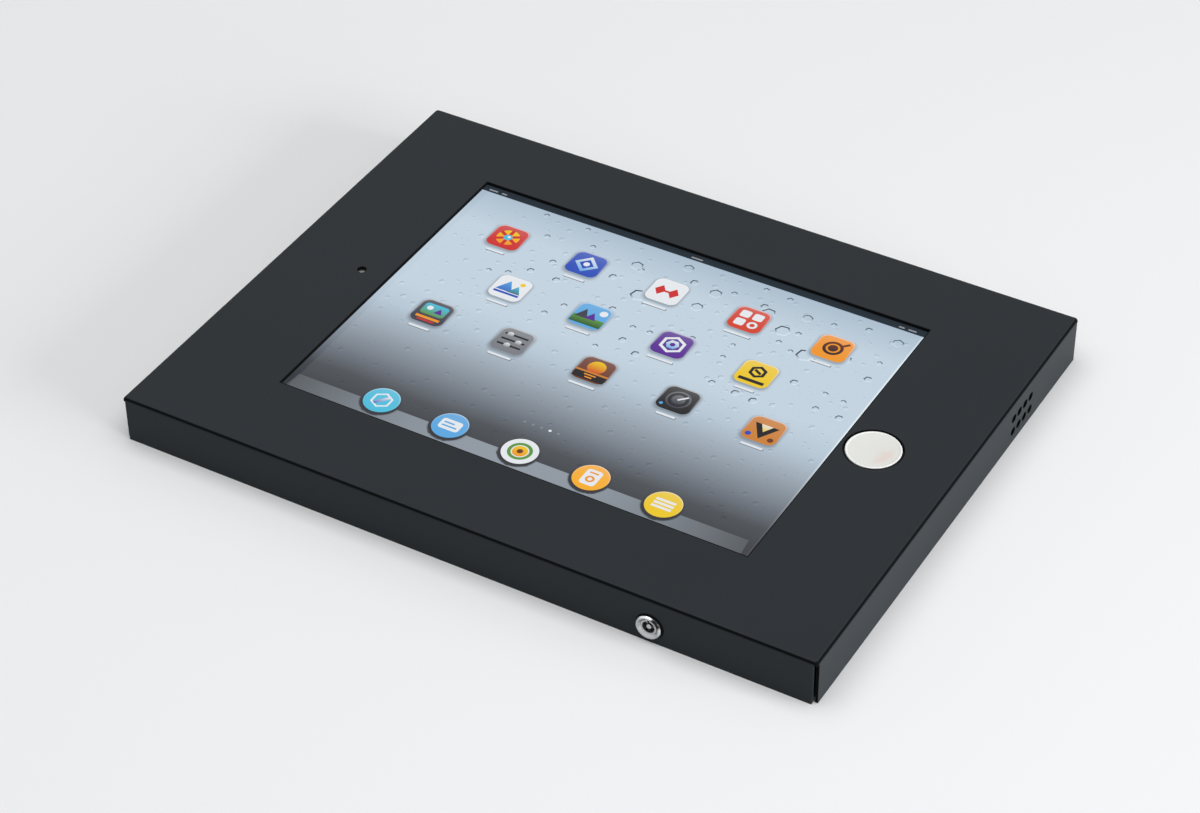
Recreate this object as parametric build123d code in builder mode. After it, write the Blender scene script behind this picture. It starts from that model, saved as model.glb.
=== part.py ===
from build123d import *
import os

# Lockable wall mount for a tablet, lying on its back: the screen faces +Z, the lock is in the
# -Y side and the home button is at the +X end. The origin is the middle of the rear face,
# where the mount meets the wall. All sizes are in millimetres.

os.makedirs("parts", exist_ok=True)

# Front cover: one sheet with four folded sides
cover_width = 290.0
cover_height = 220.0
cover_depth = 19.5
cover_sheet = 1.2
cover_bend_inside = 0.3
corner_seam = 0.45
window_clearance_x = 0.15
window_clearance_y = 0.1
window_y = 0.8
home_hole_radius = 11.0
home_y = 0.75
camera_hole_radius = 1.9
camera_y = 0.6

# Sound holes in the right-hand side of the cover
speaker_hole_radius = 1.6
speaker_columns = 4
speaker_rows = 2
speaker_pitch_y = 5.0
speaker_pitch_z = 6.1
speaker_from_top = 51.3
speaker_z = 8.5

# Hooks on the top side of the cover, which engage slots in the back plate
hook_width = 24.0
hook_reach = 5.0
hook_pitch = 95.0
hook_count = 3
hook_side_gap = 1.0
hook_end_gap = 1.2
hook_slot_height = 5.8

# Back plate: a folded tray that is screwed to the wall
tray_gap = 0.8
tray_sheet = 1.2
tray_bend_inside = 0.5
tray_flange_height = 12.0
tray_corner_relief = 6.0
tray_corner_height = 3.0
wall_hole_radius = 2.75
wall_hole_pitch_x = 200.0
wall_hole_pitch_y = 140.0
monitor_hole_radius = 2.25
monitor_pitch = 100.0
lock_notch_gap = 2.0
speaker_notch_margin = 4.0

# Cable hole
cable_x = 72.0
cable_hole_radius = 13.0

# Tablet
tablet_border_x = 24.4
tablet_border_y = 17.15
tablet_thickness = 8.8
tablet_corner_radius = 13.0
tablet_edge_rise = 4.0
tablet_edge_run = 9.0
tablet_x = -1.5
tablet_y = 1.2
tablet_depth_below_front = 2.4
glass_thickness = 0.8
glass_inset = 1.4
display_border_x = 22.05
display_border_y = 18.95
display_gap = 0.05
tablet_button_from_edge = 7.7
tablet_button_radius = 5.6
tablet_button_gap = 0.1
tablet_button_thickness = 2.0
tablet_button_pocket_gap = 0.4
tablet_lens_radius = 1.1
tablet_camera_from_edge = 11.4
dock_port_width = 22.0
dock_port_height = 2.6
dock_port_depth = 4.0

# Home button cap, pressed through the cover
cap_radius = 10.5
cap_lip_radius = 11.7
cap_lip_thickness = 0.5
cap_lip_gap = 0.15
cap_rim_bevel = 0.35
cap_boss_radius = 4.0
cap_boss_gap = 0.12
press_travel = 0.35

# Tubular cam lock
lock_from_right = 65.2
lock_z = 7.0
lock_head_radius = 4.75
lock_head_proud = 1.2
lock_head_bevel = 0.45
lock_body_radius = 4.0
lock_body_length = 10.8
lock_hole_gap = 0.1
plug_radius = 3.1
plug_gap = 0.05
plug_recess = 0.35
plug_overhang = 1.2
keyway_radius = 2.5
keyway_depth = 3.0
keyway_notch_width = 0.9
post_radius = 1.05
post_length = 6.0
post_recess = 0.15
fit_gap = 0.02
washer_radius = 5.6
washer_thickness = 0.5
nut_across_flats = 10.0
nut_thickness = 2.5
cam_hub_radius = 2.7
cam_tip_radius = 2.2
cam_floor_gap = 0.3
cam_thickness = 1.4
cam_square = 3.0
cam_square_gap = 0.05
cam_spigot_extra = 0.1
cam_screw_radius = 0.95
cam_screw_length = 4.0
cam_screw_head_radius = 2.2
cam_screw_head_height = 1.2
cam_screw_slot_width = 0.5
cam_screw_slot_depth = 0.4

# Strike bracket that the cam turns under
strike_lip_gap_z = 0.3
strike_lip_gap_x = 0.6
strike_riser_gap = 1.2
strike_sheet = 1.5
strike_width = 11.0
strike_foot_length = 12.0
strike_bend_inside = 0.4
rivet_radius = 1.2
rivet_head_radius = 2.2
rivet_head_height = 1.1
rivet_pitch = 6.0

# Corner cradles that hold the tablet
cradle_leg = 20.0
cradle_wall = 3.5
cradle_height = 13.5
cradle_side_gap = 0.3
cradle_seat_gap = 0.3
cradle_seat_width = 9.0
cradle_foot_end_gap = 1.0
cradle_foot_thickness = 3.0

# Rubber pads behind the tablet and strips under the cover
pad_size = 25.0
pad_corner_bevel = 2.5
pad_pitch_x = 176.0
pad_pitch_y = 84.0
pad_gap = 0.3
strip_width = 5.0
strip_inset = 0.8
strip_gap = 0.3
strip_break = 3.0

# Sizes and places that follow from the ones above
tablet_width = cover_width - 2 * tablet_border_x
tablet_height = cover_height - 2 * tablet_border_y
display_width = tablet_width - 2 * display_border_x
display_height = tablet_height - 2 * display_border_y
window_width = display_width + 2 * window_clearance_x
window_height = display_height + 2 * window_clearance_y
home_x = tablet_x + tablet_width / 2 - tablet_button_from_edge
camera_x = tablet_x - tablet_width / 2 + tablet_camera_from_edge
lock_x = cover_width / 2 - lock_from_right
speaker_y = cover_height / 2 - speaker_from_top
plug_length = lock_body_length + plug_overhang
cover_bend_outside = cover_bend_inside + cover_sheet
cover_underside = cover_depth - cover_sheet
glass_top = cover_depth - tablet_depth_below_front
tablet_back = glass_top - tablet_thickness
glass_back = glass_top - glass_thickness
tray_width = cover_width - 2 * (cover_sheet + tray_gap)
tray_height = cover_height - 2 * (cover_sheet + tray_gap)
tray_bend_outside = tray_bend_inside + tray_sheet
lock_face_y = -cover_height / 2


def lock_plane(depth):
    """Plane square to the lock's axis, depth measured inwards from the cover's outer face."""
    return Plane(origin=(lock_x, lock_face_y + depth, lock_z), x_dir=(1, 0, 0), z_dir=(0, 1, 0))


lock_section = Plane(origin=(lock_x, lock_face_y, lock_z), x_dir=(1, 0, 0), z_dir=(0, 0, 1))
lock_axis = Axis((lock_x, lock_face_y, lock_z), (0, 1, 0))


def save(piece, name):
    """Label a finished piece and write it under its own name."""
    piece.part.label = name
    export_step(piece.part, f"parts/{name}.step")


# Front cover
corner_cut = cover_sheet + corner_seam
hook_xs = [(index - (hook_count - 1) / 2) * hook_pitch for index in range(hook_count)]
with BuildPart() as front_cover:
    with BuildSketch():
        Rectangle(cover_width, cover_height)
    extrude(amount=cover_depth)
    fillet(front_cover.edges().filter_by(Axis.Z), cover_bend_outside)
    fillet(front_cover.faces().sort_by(Axis.Z)[-1].edges(), cover_bend_outside)
    offset(amount=-cover_sheet, openings=front_cover.faces().sort_by(Axis.Z)[0])
    # Open seams where neighbouring sides meet
    with BuildSketch():
        with GridLocations(cover_width - corner_cut, cover_height - corner_cut, 2, 2):
            Rectangle(corner_cut, corner_cut)
    extrude(amount=cover_depth - cover_bend_outside, mode=Mode.SUBTRACT)
    # Window, home button hole and camera hole
    with BuildSketch(Plane.XY.offset(cover_depth)):
        with Locations((0, window_y)):
            Rectangle(window_width, window_height)
        with Locations((home_x, home_y)):
            Circle(home_hole_radius)
        with Locations((camera_x, camera_y)):
            Circle(camera_hole_radius)
    extrude(amount=-2 * cover_sheet, mode=Mode.SUBTRACT)
    # Sound holes
    with BuildSketch(Plane.YZ.offset(cover_width / 2)):
        with Locations((speaker_y, speaker_z)):
            with GridLocations(speaker_pitch_y, speaker_pitch_z, speaker_columns, speaker_rows):
                Circle(speaker_hole_radius)
    extrude(amount=-2 * cover_sheet, mode=Mode.SUBTRACT)
    # Lock hole
    with BuildSketch(lock_plane(0)):
        Circle(lock_body_radius + lock_hole_gap)
    extrude(amount=2 * cover_sheet, mode=Mode.SUBTRACT)
    # Hooks folded inwards at the foot of the top side
    with BuildSketch():
        with Locations(*[(x, cover_height / 2 - cover_sheet - hook_reach / 2) for x in hook_xs]):
            Rectangle(hook_width, hook_reach)
    extrude(amount=cover_sheet)
save(front_cover, "front_cover")


# Back plate
hook_slot_width = hook_width + 2 * hook_side_gap
hook_slot_inner = cover_height / 2 - cover_sheet - hook_reach - hook_end_gap
hook_slot_outer = tray_height / 2 + tray_gap
lock_notch_half = nut_across_flats / 2 + lock_notch_gap
speaker_notch_length = speaker_pitch_y * (speaker_columns - 1) + 2 * speaker_notch_margin
riser_front = lock_face_y + plug_length + cam_thickness + strike_riser_gap
strike_left = lock_x + cam_hub_radius + strike_lip_gap_x
rivet_y = riser_front + strike_sheet + strike_foot_length / 2
rivet_places = [
    (strike_left + strike_width / 2 - rivet_pitch / 2, rivet_y),
    (strike_left + strike_width / 2 + rivet_pitch / 2, rivet_y),
]

with BuildPart() as back_plate:
    with BuildSketch():
        Rectangle(tray_width, tray_height)
    extrude(amount=tray_flange_height)
    fillet(back_plate.faces().sort_by(Axis.Z)[0].edges(), tray_bend_outside)
    offset(amount=-tray_sheet, openings=back_plate.faces().sort_by(Axis.Z)[-1])
    # The sides meet only at the foot of each corner
    with BuildSketch(Plane.XY.offset(tray_corner_height)):
        with GridLocations(tray_width - tray_corner_relief, tray_height - tray_corner_relief, 2, 2):
            Rectangle(tray_corner_relief, tray_corner_relief)
    extrude(amount=tray_flange_height, mode=Mode.SUBTRACT)
    # Hook slots through the floor and the foot of the top side
    with BuildSketch():
        with Locations(*[(x, (hook_slot_inner + hook_slot_outer) / 2) for x in hook_xs]):
            Rectangle(hook_slot_width, hook_slot_outer - hook_slot_inner)
    extrude(amount=hook_slot_height, mode=Mode.SUBTRACT)
    # Notch for the lock in the bottom side
    with BuildSketch(Plane.XY.offset(tray_sheet)):
        with Locations((lock_x, -tray_height / 2)):
            Rectangle(2 * lock_notch_half, 2 * tray_bend_outside)
    extrude(amount=tray_flange_height, mode=Mode.SUBTRACT)
    # Notch behind the sound holes in the right-hand side
    with BuildSketch(Plane.XY.offset(tray_sheet)):
        with Locations((tray_width / 2, speaker_y)):
            Rectangle(2 * tray_bend_outside, speaker_notch_length)
    extrude(amount=tray_flange_height, mode=Mode.SUBTRACT)
    # Holes through the floor
    with BuildSketch():
        with GridLocations(wall_hole_pitch_x, wall_hole_pitch_y, 2, 2):
            Circle(wall_hole_radius)
        with GridLocations(monitor_pitch, monitor_pitch, 2, 2):
            Circle(monitor_hole_radius)
        with Locations((cable_x, 0)):
            Circle(cable_hole_radius)
        with Locations(*rivet_places):
            Circle(rivet_radius + fit_gap)
    extrude(amount=tray_sheet, mode=Mode.SUBTRACT)
save(back_plate, "back_plate")


# Strike bracket: foot under the tablet, riser, and a lip over the locked cam
lip_bottom = lock_z + cam_hub_radius + strike_lip_gap_z
lip_top = lip_bottom + strike_sheet
lip_front = lock_face_y + plug_length + cam_square_gap
riser_rear = riser_front + strike_sheet
foot_top = tray_sheet + strike_sheet
strike_bend_outside = strike_bend_inside + strike_sheet
with BuildPart() as strike_bracket:
    with BuildSketch(Plane.YZ.offset(strike_left)):
        with BuildLine():
            Polyline(
                (lip_front, lip_bottom),
                (riser_front, lip_bottom),
                (riser_front, tray_sheet),
                (riser_rear + strike_foot_length, tray_sheet),
                (riser_rear + strike_foot_length, foot_top),
                (riser_rear, foot_top),
                (riser_rear, lip_top),
                (lip_front, lip_top),
                close=True,
            )
        make_face()
        fillet(vertices().sort_by_distance((riser_rear, foot_top))[0], strike_bend_inside)
        fillet(vertices().sort_by_distance((riser_front, lip_bottom))[0], strike_bend_inside)
        fillet(vertices().sort_by_distance((riser_front, tray_sheet))[0], strike_bend_outside)
        fillet(vertices().sort_by_distance((riser_rear, lip_top))[0], strike_bend_outside)
    extrude(amount=strike_width)
    with BuildSketch():
        with Locations(*rivet_places):
            Circle(rivet_radius + fit_gap)
    extrude(amount=foot_top, mode=Mode.SUBTRACT)
save(strike_bracket, "strike_bracket")


# Rivets through the strike bracket's foot
with BuildPart() as strike_rivets:
    with BuildSketch():
        with Locations(*rivet_places):
            Circle(rivet_radius)
    extrude(amount=foot_top)
    with BuildSketch(Plane.XY.offset(foot_top)):
        with Locations(*rivet_places):
            Circle(rivet_head_radius)
    extrude(amount=rivet_head_height)
save(strike_rivets, "strike_rivets")


# Corner cradles
corner_signs = {"top_left": (-1, 1), "top_right": (1, 1), "bottom_left": (-1, -1), "bottom_right": (1, -1)}
seat_top = tablet_back - cradle_seat_gap
tray_border = cover_sheet + tray_gap + tray_bend_outside + cradle_foot_end_gap
cradle_foot_x = tablet_border_x - tray_border - cradle_side_gap - cradle_wall - abs(tablet_x)
cradle_foot_y = tablet_border_y - tray_border - cradle_side_gap - cradle_wall - abs(tablet_y)
for corner, (sx, sy) in corner_signs.items():
    corner_x = tablet_x + sx * tablet_width / 2
    corner_y = tablet_y + sy * tablet_height / 2
    reach = cradle_side_gap + cradle_wall
    clip_x = corner_x - sx * (cradle_leg - reach) / 2
    clip_y = corner_y - sy * (cradle_leg - reach) / 2
    foot_clip_x = cradle_leg + cradle_foot_x
    foot_clip_y = cradle_leg + cradle_foot_y
    with BuildPart() as cradle:
        # Foot
        with BuildSketch(Plane.XY.offset(tray_sheet)):
            with Locations((tablet_x, tablet_y)):
                RectangleRounded(
                    tablet_width + 2 * (reach + cradle_foot_x),
                    tablet_height + 2 * (reach + cradle_foot_y),
                    tablet_corner_radius,
                )
            with Locations((clip_x + sx * cradle_foot_x / 2, clip_y + sy * cradle_foot_y / 2)):
                Rectangle(foot_clip_x, foot_clip_y, mode=Mode.INTERSECT)
        extrude(amount=cradle_foot_thickness)
        # Wall round the tablet's corner
        with BuildSketch(Plane.XY.offset(tray_sheet)):
            with Locations((tablet_x, tablet_y)):
                RectangleRounded(
                    tablet_width + 2 * reach,
                    tablet_height + 2 * reach,
                    tablet_corner_radius + reach,
                )
            with Locations((clip_x, clip_y)):
                Rectangle(cradle_leg, cradle_leg, mode=Mode.INTERSECT)
        extrude(amount=cradle_height)
        # Room for the tablet above the seat, and the open middle inside it
        with BuildSketch(Plane.XY.offset(seat_top)):
            with Locations((tablet_x, tablet_y)):
                RectangleRounded(
                    tablet_width + 2 * cradle_side_gap,
                    tablet_height + 2 * cradle_side_gap,
                    tablet_corner_radius + cradle_side_gap,
                )
        extrude(amount=cradle_height, mode=Mode.SUBTRACT)
        with BuildSketch(Plane.XY.offset(tray_sheet)):
            with Locations((tablet_x, tablet_y)):
                Rectangle(
                    tablet_width - 2 * cradle_seat_width,
                    tablet_height - 2 * cradle_seat_width,
                )
        extrude(amount=cradle_height, mode=Mode.SUBTRACT)
    save(cradle, f"cradle_{corner}")

# Rubber pads between the back plate and the tablet
pad_top = tablet_back - pad_gap
with BuildPart() as rear_rubber_pads:
    with BuildSketch(Plane.XY.offset(tray_sheet)):
        with GridLocations(pad_pitch_x, pad_pitch_y, 2, 2):
            Rectangle(pad_size, pad_size)
    extrude(amount=pad_top - tray_sheet)
    chamfer(rear_rubber_pads.edges().filter_by(Axis.Z), pad_corner_bevel)
save(rear_rubber_pads, "rear_rubber_pads")


# Tablet's metal back shell
tablet_button_pocket = tablet_button_thickness - glass_thickness + press_travel + tablet_button_pocket_gap
with BuildPart() as tablet_shell:
    with BuildSketch(Plane.XY.offset(tablet_back)):
        with Locations((tablet_x, tablet_y)):
            RectangleRounded(tablet_width, tablet_height, tablet_corner_radius)
    extrude(amount=glass_back - tablet_back)
    back_face = tablet_shell.faces().sort_by(Axis.Z)[0]
    chamfer(back_face.edges(), tablet_edge_run, tablet_edge_rise, reference=back_face)
    with BuildSketch(Plane.XY.offset(glass_back)):
        with Locations((home_x, home_y)):
            Circle(tablet_button_radius + tablet_button_gap)
    extrude(amount=-tablet_button_pocket, mode=Mode.SUBTRACT)
    with BuildSketch(Plane.YZ.offset(tablet_x + tablet_width / 2)):
        with Locations((tablet_y, (tablet_back + glass_back + tablet_edge_rise) / 2)):
            SlotOverall(dock_port_width, dock_port_height)
    extrude(amount=-dock_port_depth, mode=Mode.SUBTRACT)
save(tablet_shell, "tablet_shell")


# Tablet's front glass with its border
with BuildPart() as tablet_bezel:
    with BuildSketch(Plane.XY.offset(glass_back)):
        with Locations((tablet_x, tablet_y)):
            RectangleRounded(
                tablet_width - 2 * glass_inset,
                tablet_height - 2 * glass_inset,
                tablet_corner_radius - glass_inset,
            )
            Rectangle(display_width + 2 * display_gap, display_height + 2 * display_gap, mode=Mode.SUBTRACT)
        with Locations((home_x, home_y)):
            Circle(tablet_button_radius + tablet_button_gap, mode=Mode.SUBTRACT)
        with Locations((camera_x, camera_y)):
            Circle(tablet_lens_radius + fit_gap, mode=Mode.SUBTRACT)
    extrude(amount=glass_thickness)
save(tablet_bezel, "tablet_bezel")

with BuildPart() as tablet_display:
    with BuildSketch(Plane.XY.offset(glass_back)):
        with Locations((tablet_x, tablet_y)):
            Rectangle(display_width, display_height)
    extrude(amount=glass_thickness)
save(tablet_display, "tablet_display")

with BuildPart() as tablet_camera:
    with BuildSketch(Plane.XY.offset(glass_back)):
        with Locations((camera_x, camera_y)):
            Circle(tablet_lens_radius)
    extrude(amount=glass_thickness)
save(tablet_camera, "tablet_camera")


# Tablet's own home button
with BuildPart() as tablet_home_button:
    with BuildSketch(Plane.XY.offset(glass_top - tablet_button_thickness)):
        with Locations((home_x, home_y)):
            Circle(tablet_button_radius)
    extrude(amount=tablet_button_thickness)
save(tablet_home_button, "tablet_home_button")


# Home button cap: a disc in the cover's hole, a lip under the sheet and a boss behind
lip_top_level = cover_underside - cap_lip_gap
lip_bottom_level = lip_top_level - cap_lip_thickness
with BuildPart() as home_button_cap:
    with BuildSketch(Plane.XY.offset(lip_bottom_level)):
        with Locations((home_x, home_y)):
            Circle(cap_lip_radius)
    extrude(amount=cap_lip_thickness)
    with BuildSketch(Plane.XY.offset(lip_top_level)):
        with Locations((home_x, home_y)):
            Circle(cap_radius)
    extrude(amount=cover_depth - lip_top_level)
    chamfer(home_button_cap.faces().sort_by(Axis.Z)[-1].edges(), cap_rim_bevel)
    with BuildSketch(Plane.XY.offset(glass_top + cap_boss_gap)):
        with Locations((home_x, home_y)):
            Circle(cap_boss_radius)
    extrude(amount=lip_bottom_level - glass_top - cap_boss_gap)
save(home_button_cap, "home_button_cap")


# Rubber strips between the cover and the tablet's border, broken beside the home button cap
strip_thickness = cover_underside - glass_top - strip_gap
strip_centre_x = window_width / 2 + strip_inset + strip_width / 2
strip_centre_y = window_height / 2 + strip_inset + strip_width / 2
side_strip_height = window_height + 2 * strip_inset
half_break = cap_lip_radius + strip_break
right_strip_length = side_strip_height / 2 - half_break - fit_gap - abs(home_y - window_y)
right_strip_end = side_strip_height / 2 - fit_gap
right_strip_ys = [window_y + side * (right_strip_end - right_strip_length / 2) for side in (-1, 1)]
with BuildPart() as front_rubber_strips:
    with BuildSketch(Plane.XY.offset(cover_underside)):
        with Locations((0, window_y + strip_centre_y), (0, window_y - strip_centre_y)):
            Rectangle(window_width + 2 * (strip_inset + strip_width), strip_width)
        with Locations((-strip_centre_x, window_y)):
            Rectangle(strip_width, side_strip_height - 2 * fit_gap)
        with Locations(*[(strip_centre_x, y) for y in right_strip_ys]):
            Rectangle(strip_width, right_strip_length)
    extrude(amount=-strip_thickness)
save(front_rubber_strips, "front_rubber_strips")


# Lock housing: bevelled head ring and threaded body
with BuildPart() as lock_housing:
    with BuildSketch(lock_section):
        with BuildLine():
            Polyline(
                (plug_radius + plug_gap, -plug_recess),
                (plug_radius + plug_gap + lock_head_bevel, -lock_head_proud),
                (lock_head_radius - lock_head_bevel, -lock_head_proud),
                (lock_head_radius, lock_head_bevel - lock_head_proud),
                (lock_head_radius, 0),
                (lock_body_radius, 0),
                (lock_body_radius, lock_body_length),
                (plug_radius + plug_gap, lock_body_length),
                close=True,
            )
        make_face()
    revolve(axis=lock_axis)
save(lock_housing, "lock_housing")

with BuildPart() as lock_washer:
    with BuildSketch(lock_plane(cover_sheet)):
        Circle(washer_radius)
        Circle(lock_body_radius + fit_gap, mode=Mode.SUBTRACT)
    extrude(amount=washer_thickness)
save(lock_washer, "lock_washer")

with BuildPart() as lock_nut:
    with BuildSketch(lock_plane(cover_sheet + washer_thickness)):
        RegularPolygon(nut_across_flats / 2, 6, major_radius=False)
        Circle(lock_body_radius + fit_gap, mode=Mode.SUBTRACT)
    extrude(amount=nut_thickness)
save(lock_nut, "lock_nut")


# Lock plug: annular keyway in front, square spigot for the cam behind
with BuildPart() as lock_plug:
    with BuildSketch(lock_plane(-plug_recess)):
        Circle(plug_radius)
    extrude(amount=plug_length + plug_recess)
    with BuildSketch(lock_plane(-plug_recess)):
        Circle(keyway_radius)
        with Locations((0, -keyway_radius)):
            Rectangle(keyway_notch_width, keyway_notch_width)
    extrude(amount=keyway_depth, mode=Mode.SUBTRACT)
    with BuildSketch(lock_plane(-plug_recess)):
        Circle(post_radius + fit_gap)
    extrude(amount=post_length + post_recess, mode=Mode.SUBTRACT)
    with BuildSketch(lock_plane(plug_length)):
        Rectangle(cam_square, cam_square)
    extrude(amount=cam_thickness + cam_spigot_extra)
    with BuildSketch(lock_plane(plug_length + cam_thickness + cam_spigot_extra)):
        Circle(cam_screw_radius + fit_gap)
    extrude(amount=-cam_screw_length, mode=Mode.SUBTRACT)
save(lock_plug, "lock_plug")

with BuildPart() as lock_post:
    with BuildSketch(lock_plane(post_recess - plug_recess)):
        Circle(post_radius)
    extrude(amount=post_length)
    chamfer(lock_post.faces().sort_by(Axis.Y)[0].edges(), post_recess)
save(lock_post, "lock_post")


# Cam, which hangs towards the wall when unlocked
cam_arm = lock_z - tray_sheet - cam_floor_gap - cam_tip_radius
with BuildPart() as cam_latch:
    with BuildSketch(lock_plane(plug_length)):
        with BuildLine():
            hub = CenterArc((0, 0), cam_hub_radius, 180, 180)
            tip = CenterArc((0, cam_arm), cam_tip_radius, 0, 180)
            Line(hub @ 1, tip @ 0)
            Line(tip @ 1, hub @ 0)
        make_face()
        Rectangle(cam_square + 2 * cam_square_gap, cam_square + 2 * cam_square_gap, mode=Mode.SUBTRACT)
    extrude(amount=cam_thickness)
save(cam_latch, "cam_latch")

cam_screw_start = plug_length + cam_thickness + cam_spigot_extra
with BuildPart() as cam_screw:
    with BuildSketch(lock_plane(cam_screw_start)):
        Circle(cam_screw_head_radius)
    extrude(amount=cam_screw_head_height)
    chamfer(cam_screw.faces().sort_by(Axis.Y)[-1].edges(), cam_screw_slot_depth / 2)
    with BuildSketch(lock_plane(cam_screw_start + cam_screw_head_height)):
        Rectangle(2 * cam_screw_head_radius, cam_screw_slot_width)
    extrude(amount=-cam_screw_slot_depth, mode=Mode.SUBTRACT)
    with BuildSketch(lock_plane(cam_screw_start)):
        Circle(cam_screw_radius)
    extrude(amount=fit_gap - cam_screw_length)
save(cam_screw, "cam_screw")
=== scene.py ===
"""Looks of a lockable wall mount for a tablet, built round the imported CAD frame. Lengths are in metres."""
import logging
import math
from dataclasses import dataclass, field
from enum import Enum, IntEnum
from functools import cached_property, partial
from typing import Any, Iterable, Optional, Sequence, Union

import bmesh
import bpy
from mathutils import Matrix, Vector


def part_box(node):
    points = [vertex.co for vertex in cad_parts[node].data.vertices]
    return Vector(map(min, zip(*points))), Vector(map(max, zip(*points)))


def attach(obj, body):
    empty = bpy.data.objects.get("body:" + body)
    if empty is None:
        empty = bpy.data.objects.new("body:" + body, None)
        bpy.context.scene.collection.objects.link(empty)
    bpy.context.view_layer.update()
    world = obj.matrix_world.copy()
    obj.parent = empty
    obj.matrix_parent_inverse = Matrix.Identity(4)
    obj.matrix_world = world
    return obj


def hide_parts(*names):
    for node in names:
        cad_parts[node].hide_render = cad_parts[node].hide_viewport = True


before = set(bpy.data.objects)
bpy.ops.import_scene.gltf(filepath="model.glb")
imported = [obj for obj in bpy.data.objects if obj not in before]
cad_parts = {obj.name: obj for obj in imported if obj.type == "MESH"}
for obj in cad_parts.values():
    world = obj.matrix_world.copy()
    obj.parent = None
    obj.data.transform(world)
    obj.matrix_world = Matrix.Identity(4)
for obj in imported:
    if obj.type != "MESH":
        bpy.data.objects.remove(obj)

MM = 0.001
UP = Vector((0, 0, 1))
RIGHT = Vector((1, 0, 0))
SOFT = 0.1 * MM  # width over which a drawn edge fades
SMOOTH_BELOW = math.radians(35.0)  # flatter edges are shaded smooth
log = logging.getLogger("tablet_mount")

Colour = tuple[float, float, float]
Place = tuple[float, float]
Value = Union["Sock", float]
Tone = Union["Sock", Colour]
Key = Union[str, int]
Owner = Union[bpy.types.Material, bpy.types.World]


def linear(*seen: float) -> Colour:
    """Turn a colour as seen on a screen, 0 to 255, into linear light.

    Args:
        seen: Its red, green and blue parts.

    Returns:
        The three linear parts, 0 to 1.
    """
    red, green, blue = (part / 12.92 if part <= 0.04045 else ((part + 0.055) / 1.055) ** 2.4
                        for part in (part / 255 for part in seen))
    return (red, green, blue)


def scaled(colour: Colour, share: float) -> Colour:
    """Return a colour with a share of its light."""
    red, green, blue = (share * part for part in colour)
    return (red, green, blue)


class Sock:
    """An output socket that can be used in Python expressions."""

    def __init__(self, graph: "Graph", socket: bpy.types.NodeSocket) -> None:
        """Keep the graph and the socket."""
        self.graph = graph
        self.socket = socket

    def math(self, operation: str, *others: Value, swap: bool = False) -> "Sock":
        """Add a Math node.

        Args:
            operation: The node's operation.
            others: The further values.
            swap: True where this socket is the second value.

        Returns:
            The node's output.
        """
        values = [self, *others]
        if swap:
            values.reverse()
        return self.graph.node("ShaderNodeMath", {"operation": operation}, dict(enumerate(values)))

    def __add__(self, other: Value) -> "Sock":
        """Sum."""
        return self.math("ADD", other)

    def __sub__(self, other: Value) -> "Sock":
        """Difference."""
        return self.math("SUBTRACT", other)

    def __rsub__(self, other: float) -> "Sock":
        """Difference from a number."""
        return self.math("SUBTRACT", other, swap=True)

    def __mul__(self, other: Value) -> "Sock":
        """Product."""
        return self.math("MULTIPLY", other)

    def __truediv__(self, other: Value) -> "Sock":
        """Quotient."""
        return self.math("DIVIDE", other)

    def __pow__(self, other: float) -> "Sock":
        """Power."""
        return self.math("POWER", other)

    __radd__ = __add__
    __rmul__ = __mul__

    def size(self) -> "Sock":
        """Value without its sign."""
        return self.math("ABSOLUTE")

    def larger(self, other: Value) -> "Sock":
        """Larger of two values."""
        return self.math("MAXIMUM", other)

    def step(self, low: float, high: float) -> "Sock":
        """Rise smoothly from 0 at low to 1 at high."""
        settings = {"interpolation_type": "SMOOTHSTEP"}
        return self.graph.node("ShaderNodeMapRange", settings, {0: self, 1: low, 2: high, 3: 0.0, 4: 1.0})


def reach(across: Sock, up: Sock) -> Sock:
    """Return the distance of a place, given by two coordinates, from their origin."""
    return (across * across + up * up) ** 0.5


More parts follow.
